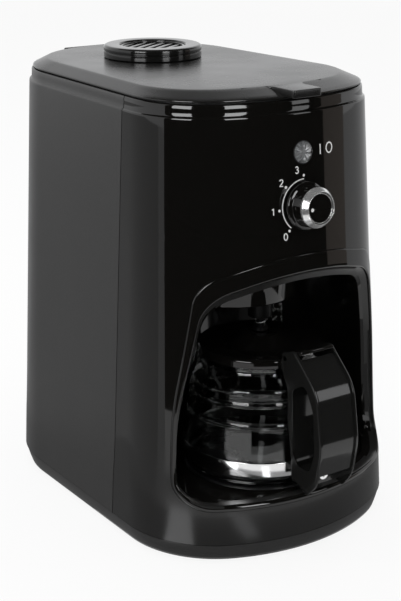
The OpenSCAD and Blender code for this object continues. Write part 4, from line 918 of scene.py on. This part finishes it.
class COFFEE_OT_controls(bpy.types.Operator):
    """Selector knob with its chrome ring, the clear power button, and the white printed scale"""

    bl_idname = "coffee.controls"
    bl_label = "Controls"

    def execute(self, context):
        s = context.scene.coffee_sizes
        r, h = KNOB_R, KNOB_H
        body = [(0, 0.9, 0), (14.4, 0.9, 0.3), (14.4, 2.6, 0.8), (13.6, 3.4, 0.6), (12.3, 4.0, 0.6), (r, h - 4.8, 0.3),
                (r - 2.55, h - 4.8, 0.1), (r - 2.55, h - 1.2, 0.1), (0, h - 1.2, 0)]
        grip = on_panel(turned(body, 128, 5), KNOB_Z)
        piece("selector_grip", [grip], "gloss_black", "selector_knob", ("knob_body",), 30)
        ring = [(r - 2.5, h - 4.7, 0.05), (r, h - 4.7, 0.25), (r, h - 3.2, 0.4), (r - 2.0, h - 0.5, 0.5),
                (r - 2.25, h, 0.15), (r - 2.5, h, 0.1)]
        line = [(r - 3.5, h - 1.3, 0.1), (r - 3.1, h - 1.3, 0.1), (r - 3.1, h - 0.9, 0.15), (r - 3.5, h - 0.9, 0.15)]
        rings = [on_panel(turned(rows, 128, 5), KNOB_Z) for rows in (ring, line)]
        piece("selector_ring", rings, "chrome", "selector_knob", ("knob_ring",), 50, finish="ring_silver")
        a, out = radians(SCALE_TURNS[2]), 5.9
        dot = [(0, h - 1.15, 0), (1.1, h - 1.15, 0.05), (1.1, h - 0.95, 0.12), (0, h - 0.85, 0)]
        dot = turned(dot, 32, 3, (out * cos(a), out * sin(a)))
        piece("selector_dot", [on_panel(dot, KNOB_Z)], "white_print", "selector_knob", ("knob_pointer",))
        r = BUTTON_R
        lens = [(0, -8), (3, -8), (3, -2.5), (r, -2.5), (r, 1.0), (5.5, 1.9), (2.6, 2.1), (1.6, 1.4), (0, 1.1)]
        p, f = turned(soften(lens, 0.5, (0, 8)), 144, 5)
        off, wave = facet_wave(p, s.lens_facets)
        p[:, 2] -= np.where(p[:, 2] > 0.4, 0.35 * wave * np.clip(off / 5.5, 0, 1) * np.clip((6.3 - off) / 0.6, 0, 1), 0)
        piece("power_lens", [on_panel((p, f), BUTTON_Z)], "lens", "power_button", ("button_lens",), 20)
        p, f = turned([(0, -1.2, 0), (5.7, -1.2, 0.1), (5.7, 0.1, 0.1), (3.0, 0.6, 0.2), (0, 0.5, 0)], 144, 3)
        off, wave = facet_wave(p, s.lens_facets)
        p[:, 2] -= np.where(p[:, 2] > -0.5, 0.9 * wave * np.clip(off / 5.0, 0, 1), 0)
        piece("lens_mirror", [on_panel((p, f), BUTTON_Z)], "chrome", "power_button", (), 12, finish="lens_silver")
        gap = [(r + 0.02, -0.5, 0), (r + 0.55, -0.5, 0.05), (r + 0.55, 0.06, 0.05), (r + 0.02, 0.06, 0.05)]
        piece("lens_surround", [on_panel(turned(gap, 96, 2), BUTTON_Z)], "rubber", "housing")
        w = s.print_stroke / MM
        place = lambda t, k: np.column_stack([k * np.cos(t), KNOB_Z + k * np.sin(t) * cos(TILT)])
        parts = [stroke(place(np.radians(np.linspace(SCALE_TURNS[0], SCALE_TURNS[3], 90)), SCALE_R - 1.1), w)]
        t = np.linspace(0, 2 * pi, 20, endpoint=False)
        spot = 0.42
        for q in SCALE_TURNS:
            centre = place(np.radians([q]), SCALE_R + 1.0)[0]
            parts.append(stroke(centre + spot * np.column_stack([np.cos(t), np.sin(t)]), 2 * spot, closed=True))
        last_digit = 103.0
        for (path, closed), q in zip(digit_paths(s.digit_height / MM), [*SCALE_TURNS[:0:-1], last_digit]):
            parts.append(stroke(path + place(np.radians([q]), SCALE_R + 5.2)[0], w, closed=closed))
        bar_x, ring_x, z, tall = 13.5, 21.0, BUTTON_Z + 0.2, 3.0
        parts.append(stroke(np.array([(bar_x, z + k * tall) for k in (-1, -1 / 3, 1 / 3, 1)]), w * 1.2))
        parts.append(stroke(np.column_stack([ring_x + 2.5 * np.cos(t), z + tall * np.sin(t)]), w * 1.2, closed=True))
        piece("panel_print", parts, "white_print", "housing", ("dial_print",))
        return {"FINISHED"}


# Section of the glass as (radius, height over the plate), up the outside with its ridges and down the inside
JUG_OUT = [(0, 1.2), (38, 1.2), (40, 0), (43, 0), (46.4, 1.4), (48.5, 4.6), (49, 7.6), (49, 17.6), (48.7, 22),
           (47.6, 33), (47.1, 38.6), (47.7, 40.2), (47, 41.8), (45.8, 50), (45.4, 52), (46, 53.4), (45.2, 55),
           (44.4, 59.4), (45.2, 61), (44.6, 62.4), (42.2, 65.4), (39.4, 68.6), (37.8, 71), (37.4, 73), (38.4, 74.4),
           (38.2, JUG_H)]
JUG_IN = [(36.4, JUG_H), (36.2, 74.2), (35.5, 73), (36, 70.6), (37.8, 67.8), (40.6, 64.4), (42.4, 61), (42.6, 56),
          (43.8, 47), (45.2, 36), (46.4, 23), (46.8, 15), (46.8, 8), (45.8, 5), (43.4, 3.7), (38.8, 3.4), (0, 3.4)]


class COFFEE_OT_carafe(bpy.types.Operator):
    """Ridged glass carafe with its plated band, domed lid and thumb lever"""

    bl_idname = "coffee.carafe"
    bl_label = "Carafe"

    def execute(self, context):
        section = np.array(JUG_OUT + JUG_IN) + np.array([0, JUG_Z])
        rows = soften(section, 6.0, (0, len(section) - 1))
        piece("jug", [turned(rows, 160, 4, (0, CARAFE_Y))], "glass", "carafe", ("carafe_glass",), 60)
        z, r, wide, y = JUG_Z + 8, JUG_R, 9.4, NECK_Y
        band = [(r + 0.1, z, 0.1), (r + 0.8, z, 0.3), (r + 0.8, z + wide, 0.3), (r + 0.1, z + wide, 0.1)]
        lug = round_path([(-8, y - 3, 0.8), (8, y - 3, 0.8), (8, y - 0.4, 0.3), (-8, y - 0.4, 0.3)], 5)
        parts = [turned(band, 160, 4, (0, CARAFE_Y)), prism(lug, z + 0.02, z + wide - 0.02, "z", 0.3)]
        piece("jug_band", parts, "chrome", "carafe", ("carafe_band",), 50, finish="band_steel")
        z, dome = JUG_TOP + 0.3, JUG_TOP + 12.5
        lid = [(3, dome - 2, 0.3), (12, dome - 2, 1), (20, z + 3, 1), (33.4, z + 2.2, 0.4), (33.4, z - 5, 0.4),
               (35, z - 5, 0.4), (35, z, 0.2), (40, z, 0.5), (40, z + 4.6, 1.2), (38.6, z + 6, 1.4), (22, z + 5.2, 3),
               (12.8, dome, 2.2), (3, dome, 0.6)]
        pin_y, pin_z = NECK_Y + 4.5, JUG_TOP + 9.5
        lever = [(pin_y + 7, z + 3, 1), (pin_y + 5, pin_z + 2.6, 2), (pin_y - 12.6, pin_z + 7.4, 0.9),
                 (pin_y - 12.9, pin_z + 5.4, 0.6), (pin_y - 2.8, pin_z - 2.4, 2), (pin_y + 2, pin_z - 4.4, 1)]
        parts = [turned(lid, 144, 6, (0, CARAFE_Y)), prism(round_path(lever, 7), -12.5, 12.5, "x", 0.6)]
        piece("jug_lid", parts, "gloss_black", "carafe", ("carafe_lid",), 36)
        return {"FINISHED"}


# Corners (depth from the neck, z, radius) of the handle's outer edge and of its finger gap
GRIP_OUT = [(8.5, 115.5, 2), (8.5, 126.5, 3), (-3.5, 130.5, 5), (-26, 110, 24), (-31.6, 74.8, 40), (-27.4, 50.8, 20),
            (-19, 41.4, 2), (-14.5, 43.2, 2), (-9, 46.2, 5), (-3.2, 46.2, 2), (-2.6, 59.8, 6), (1.6, 84.8, 14),
            (2.1, 104.8, 8)]
GRIP_HOLE = [(-2.0, 106.2, 4), (-15.6, 114.3, 6), (-24.6, 97, 22), (-26.4, 71.5, 18), (-22.0, 56.5, 6), (-8.5, 57, 4),
             (-3.8, 63.8, 6)]


def handle_parts():
    """Handle: in each direction from the middle of the finger gap, a flange runs over its rounded outer edge, straight
    across and over its rounded inner edge. Between the two flanges a web follows the outer edge, but not at the lid's
    lever and not at the foot, where a block reaches to the band."""
    shift, centre = np.array([NECK_Y, 0]), np.array([-11.0, 85.0])
    t = 2 * pi * np.arange(420) / 420
    at = lambda rows: by_angle(round_path(rows, 14), centre, t) + shift
    upright = lambda rows: np.stack([np.column_stack([np.full(len(p), x), p]) for p, x in rows])
    edge, w = 1.1, GRIP_HALF - FLANGE
    rim = [(edge * (1 - cos(q)), edge * (1 - sin(q))) for q in np.linspace(0, pi / 2, 5)[::-1]]
    outer = [(at(grown(GRIP_OUT, -d)), GRIP_HALF - x) for d, x in rim[::-1]]
    inner = [(at(grown(GRIP_HOLE, -d)), GRIP_HALF - x) for d, x in rim]
    face = [(outer[-1][0] * (1 - k) + inner[0][0] * k, GRIP_HALF) for k in (0.25, 0.5, 0.75)]
    flange = upright([(at(GRIP_OUT), w)] + outer + face + inner + [(at(GRIP_HOLE), w)])
    parts = [sheet(flange * np.array([side, 1, 1]), True, True) for side in (1, -1)]
    out, mid = at(grown(GRIP_OUT, -1.3)), at(grown(GRIP_OUT, -4.0))
    (y, z), root = out.T, GRIP_Y + 15
    keep = ~((y > NECK_Y - 7) & (z > JUG_TOP - 2)) & ~((y < root) & (z < JUG_Z + 17))
    order = np.roll(np.arange(len(t)), -np.flatnonzero(~keep)[0])
    for run in np.split(order, np.flatnonzero(np.diff(keep[order].astype(int))) + 1):
        if keep[run[0]] and len(run) > 3:
            o, m, x = out[run], mid[run], w + 0.1
            parts.append(bar(upright([(o, -x), (o, x), (m, x), (m, -x)])))
    block = [(y, z, 0.6) for y, z in ((root, 47.0), (NECK_Y - 3.2, 47.0), (NECK_Y - 3.2, 56.0), (root, 56.0))]
    return parts + [prism(round_path(block, 4), -w - 0.05, w + 0.05, "x", 0.1)]


class COFFEE_OT_handle(bpy.types.Operator):
    """Carafe handle: two side flanges round the finger gap, with a recessed web between them"""

    bl_idname = "coffee.handle"
    bl_label = "Handle"

    def execute(self, context):
        handle = piece("jug_handle", handle_parts(), "gloss_black", "carafe", ("carafe_handle",), 40,
                       finish="handle_black")
        refinish(handle, "flange_black", lambda c: np.abs(c[:, 0]) > GRIP_HALF - 0.6)
        return {"FINISHED"}


class COFFEE_OT_inner_finishes(bpy.types.Operator):
    """Finishes of the solids that show as they are, by the slot that the record gives each, except the drip valve,
    which gets a near-black, weakly glossy finish as painted shade under the basket
    """

    bl_idname = "coffee.inner_finishes"
    bl_label = "Inner finishes"

    def execute(self, context):
        slots = {p["node"]: p["material_slot"] for p in frame["record"]["subparts"]}
        for name, obj in frame["nodes"].items():
            slot = slots.get(name)
            if slot not in FINISH:
                raise RuntimeError(f"no finish for {name}")
            obj.data.materials.clear()
            # The drip valve gets the near-black, weakly glossy finish of painted shade under the basket
            obj.data.materials.append(FINISH["dull_black" if name == "drip_valve" else slot])
        return {"FINISHED"}


# Stage

def seen_white(n, l, other, white, out, share=1.0):
    """Puts a mix of two shaders on out: camera, glossy and transmitted rays meet that share of white, and all other
    rays meet none of it."""
    path, mix = n.new("ShaderNodeLightPath"), n.new("ShaderNodeMixShader")
    either, any_of, part = (n.new("ShaderNodeMath") for _ in range(3))
    either.operation = any_of.operation = "MAXIMUM"
    part.operation = "MULTIPLY"
    part.inputs[1].default_value = share
    for start, end in ((path.outputs["Is Camera Ray"], either.inputs[0]),
                       (path.outputs["Is Glossy Ray"], either.inputs[1]),
                       (path.outputs["Is Transmission Ray"], any_of.inputs[1]),
                       (either.outputs[0], any_of.inputs[0]), (any_of.outputs[0], part.inputs[0]),
                       (part.outputs[0], mix.inputs[0]), (other.outputs[0], mix.inputs[1]),
                       (white.outputs[0], mix.inputs[2]), (mix.outputs[0], out.inputs["Surface"])):
        l.new(start, end)


def stage_sheet(name, grid, material):
    """An object of the stage through a grid of points in metres."""
    points, faces = sheet(grid)
    mesh = bpy.data.meshes.new(name)
    mesh.from_pydata(points.tolist(), [], faces.tolist())
    mesh.materials.append(material)
    obj = bpy.data.objects.new(name, mesh)
    bpy.context.scene.collection.objects.link(obj)
    return obj


# Place, turn and lens of the camera, as fitted to the photograph, in metres, degrees and millimetres
CAMERA_AT, CAMERA_TURN, CAMERA_PITCH, CAMERA_LENS = (-0.51191, -0.7246, 0.41697), -35.07, 17.94, 83.72

# The two tints that a card's colour wanders between
WHITE, BROWN = ((0.97, 0.98, 1.0), (1.0, 1.0, 1.0)), ((0.96, 0.84, 0.76), (1.0, 0.88, 0.80))
BLACK = ((0.0015, 0.0014, 0.0012), (0.003, 0.0028, 0.0025))

# Cards round the object that gloss surfaces mirror: name, tints, span in degrees, two radii, two heights, depth of the
# centre, and glow, where None stands for the windows' brightness
CARDS = [("dark_near", BLACK, (-180, -21.5), (0.40, 0.75), (0.002, 0.002), -0.08, 0.0),
         ("dark_floor", BLACK, (-180, -37.5), (0.75, 1.6), (0.002, 0.002), -0.08, 0.0),
         ("dark_room", BLACK, (-180, -37.5), (1.6, 1.6), (0.002, 3.0), -0.08, 0.0),
         ("dark_gap", BLACK, (-140, -30), (0.29, 0.41), (0.0025, 0.0025), -0.08, 0.0),
         ("dark_ceiling", BLACK, (-180, 180), (0.001, 3.0), (3.0, 3.0), 0.0, 0.0),
         ("brown_floor", BROWN, (-37.5, -21.5), (0.75, 1.6), (0.002, 0.002), -0.08, 0.34),
         ("brown_wall", BROWN, (-37.5, -21.5), (1.6, 1.6), (0.002, 0.9), -0.08, 0.34),
         ("dark_upper", BLACK, (-37.5, 20), (1.6, 1.6), (0.9, 3.0), -0.08, 0.0),
         ("right_floor", WHITE, (-21.5, 100), (0.30, 3.0), (0.002, 0.002), -0.08, 0.62),
         ("grey_floor", WHITE, (100, 172), (0.12, 3.0), (0.002, 0.002), -0.08, 0.42),
         ("pale_floor", WHITE, (172, 180), (0.12, 3.0), (0.002, 0.002), -0.08, 0.62),
         ("back_wall", WHITE, (-21.5, 180), (3.0, 3.0), (0.002, 3.0), -0.08, 1.0),
         ("shaded_floor", WHITE, (-180, 180), (0.02, 0.205), (0.003, 0.003), 0.0, 0.30),
         ("handle_window", WHITE, (-57, -46), (1.58, 1.58), (0.26, 1.0), -0.08, 2.2),
         # The two glowing floor strips below are painted reflections of the windows in the floor
         ("left_window_floor_reflection", WHITE, (-170, -153), (0.10, 0.225), (0.004, 0.004), -0.06, 2.2),
         ("right_window_floor_reflection", WHITE, (-125.5, -115.5), (0.088, 0.21), (0.004, 0.004), -0.074, 1.5),
         ("left_window", WHITE, (-170, -144), (1.58, 1.58), (0.34, 1.3), -0.08, None),
         ("right_window", WHITE, (-100, -84), (1.58, 1.58), (0.34, 1.3), -0.08, None)]


def mirrored_card(name, tints, span, radii, heights, depth, glow):
    """Part of a cylinder or disc round the object, seen only in gloss surfaces where it glows, and through glass too
    where it is black.

    A point is the centre plus the radius in its direction, at the height that goes with that radius."""
    m, n, l, shader, at = nodes_of(name)
    shader.inputs["Base Color"].default_value = (0, 0, 0, 1)
    shader.inputs["Roughness"].default_value = 1.0
    shader.inputs["Specular IOR Level"].default_value = 0.0
    shader.inputs["Emission Strength"].default_value = glow
    l.new(tinted(n, l, noise(n, l, at, 12), *tints), shader.inputs["Emission Color" if glow else "Base Color"])
    a = np.radians(np.linspace(*span, 60))
    r, z = (np.array(v)[:, None] for v in (radii, heights))
    card = stage_sheet(name, np.stack(np.broadcast_arrays(r * np.cos(a), depth + r * np.sin(a), z), -1), m)
    card.visible_camera = card.visible_diffuse = card.visible_shadow = False
    card.visible_transmission = not glow
    return card


class COFFEE_OT_studio(bpy.types.Operator):
    """Camera, even light, one softbox, white floor, and the cards that gloss surfaces mirror"""

    bl_idname = "coffee.studio"
    bl_label = "Studio"

    def execute(self, context):
        scene, s = context.scene, context.scene.coffee_studio
        scene.view_settings.view_transform = "Standard"
        lens = bpy.data.cameras.new("camera")
        lens.lens, lens.sensor_width, lens.sensor_fit = CAMERA_LENS, 36.0, "AUTO"
        lens.clip_start, lens.clip_end = 0.05, 50
        camera = bpy.data.objects.new("camera", lens)
        az, pitch = radians(CAMERA_TURN), radians(CAMERA_PITCH)
        back = Vector((sin(az) * cos(pitch), -cos(az) * cos(pitch), sin(pitch)))
        right = Vector((cos(az), sin(az), 0.0))
        turn = Matrix((right, back.cross(right), back)).transposed()
        camera.matrix_world = Matrix.Translation(CAMERA_AT) @ turn.to_4x4()
        scene.collection.objects.link(camera)
        scene.camera = camera
        scene.world = world = bpy.data.worlds.new("studio")
        world.use_nodes = True
        n, l = world.node_tree.nodes, world.node_tree.links
        n.clear()
        even, white = n.new("ShaderNodeBackground"), n.new("ShaderNodeBackground")
        for light, strength in ((even, s.ambient), (white, 1.0)):
            light.inputs["Color"].default_value = (1, 1, 1, 1)
            light.inputs["Strength"].default_value = strength
        seen_white(n, l, even, white, n.new("ShaderNodeOutputWorld"))
        paint, n, l, shader, at = nodes_of("studio_floor")
        l.new(tinted(n, l, noise(n, l, at, 3), (0.84, 0.84, 0.84), (0.86, 0.86, 0.86)), shader.inputs["Base Color"])
        shader.inputs["Roughness"].default_value = 0.9
        seen_white(n, l, shader, n.new("ShaderNodeEmission"), n["Material Output"], 0.9)
        g = np.linspace(-8, 8, 17)
        floor = stage_sheet("studio_floor", np.stack([*np.meshgrid(g, g), np.zeros((17, 17))], -1), paint)
        cards = [mirrored_card(*row, s.window if glow is None else glow) for *row, glow in CARDS]
        box = bpy.data.lights.new("top_box", "AREA")
        box.shape, box.size, box.size_y, box.energy = "RECTANGLE", 1.4, 1.4, s.top_box
        top = bpy.data.objects.new("top_box", box)
        top.location = (-0.1, 0.2, 1.5)
        top.rotation_euler = (Vector((0, 0, 0.2)) - top.location).to_track_quat("-Z", "Y").to_euler()
        top.visible_glossy = False
        scene.collection.objects.link(top)
        return {"FINISHED"}


STEPS = ["studio", "housing", "base", "bay", "brew_parts", "lid", "vent_cap", "controls", "carafe", "handle",
         "inner_finishes"]


class COFFEE_PT_panel(bpy.types.Panel):
    """The coffee maker's pieces, sizes and colours"""

    bl_label = "Coffee maker"
    bl_idname = "COFFEE_PT_panel"
    bl_space_type = "VIEW_3D"
    bl_region_type = "UI"
    bl_category = "Coffee maker"

    def draw(self, context):
        for step in STEPS:
            self.layout.operator("coffee." + step)
        for group in (context.scene.coffee_sizes, context.scene.coffee_colours, context.scene.coffee_studio):
            box = self.layout.box()
            for name in group.__annotations__:
                box.prop(group, name)


CLASSES = [MouldingSizes, FinishColours, StudioLight, COFFEE_OT_studio, COFFEE_OT_housing, COFFEE_OT_base,
           COFFEE_OT_bay, COFFEE_OT_brew_parts, COFFEE_OT_lid, COFFEE_OT_vent_cap, COFFEE_OT_controls,
           COFFEE_OT_carafe, COFFEE_OT_handle, COFFEE_OT_inner_finishes, COFFEE_PT_panel]


def register():
    """Registers the classes and hangs the settings on the scene."""
    for c in CLASSES:
        bpy.utils.register_class(c)
    bpy.types.Scene.coffee_sizes = PointerProperty(type=MouldingSizes)
    bpy.types.Scene.coffee_colours = PointerProperty(type=FinishColours)
    bpy.types.Scene.coffee_studio = PointerProperty(type=StudioLight)


def unregister():
    """Takes the settings and classes away again."""
    for name in ("coffee_sizes", "coffee_colours", "coffee_studio"):
        delattr(bpy.types.Scene, name)
    for c in reversed(CLASSES):
        bpy.utils.unregister_class(c)


def main():
    """Dresses the solids piece by piece."""
    register()
    make_finishes(bpy.context.scene.coffee_colours)
    for step in STEPS:
        getattr(bpy.ops.coffee, step)()


if __name__ == "__main__":
    main()
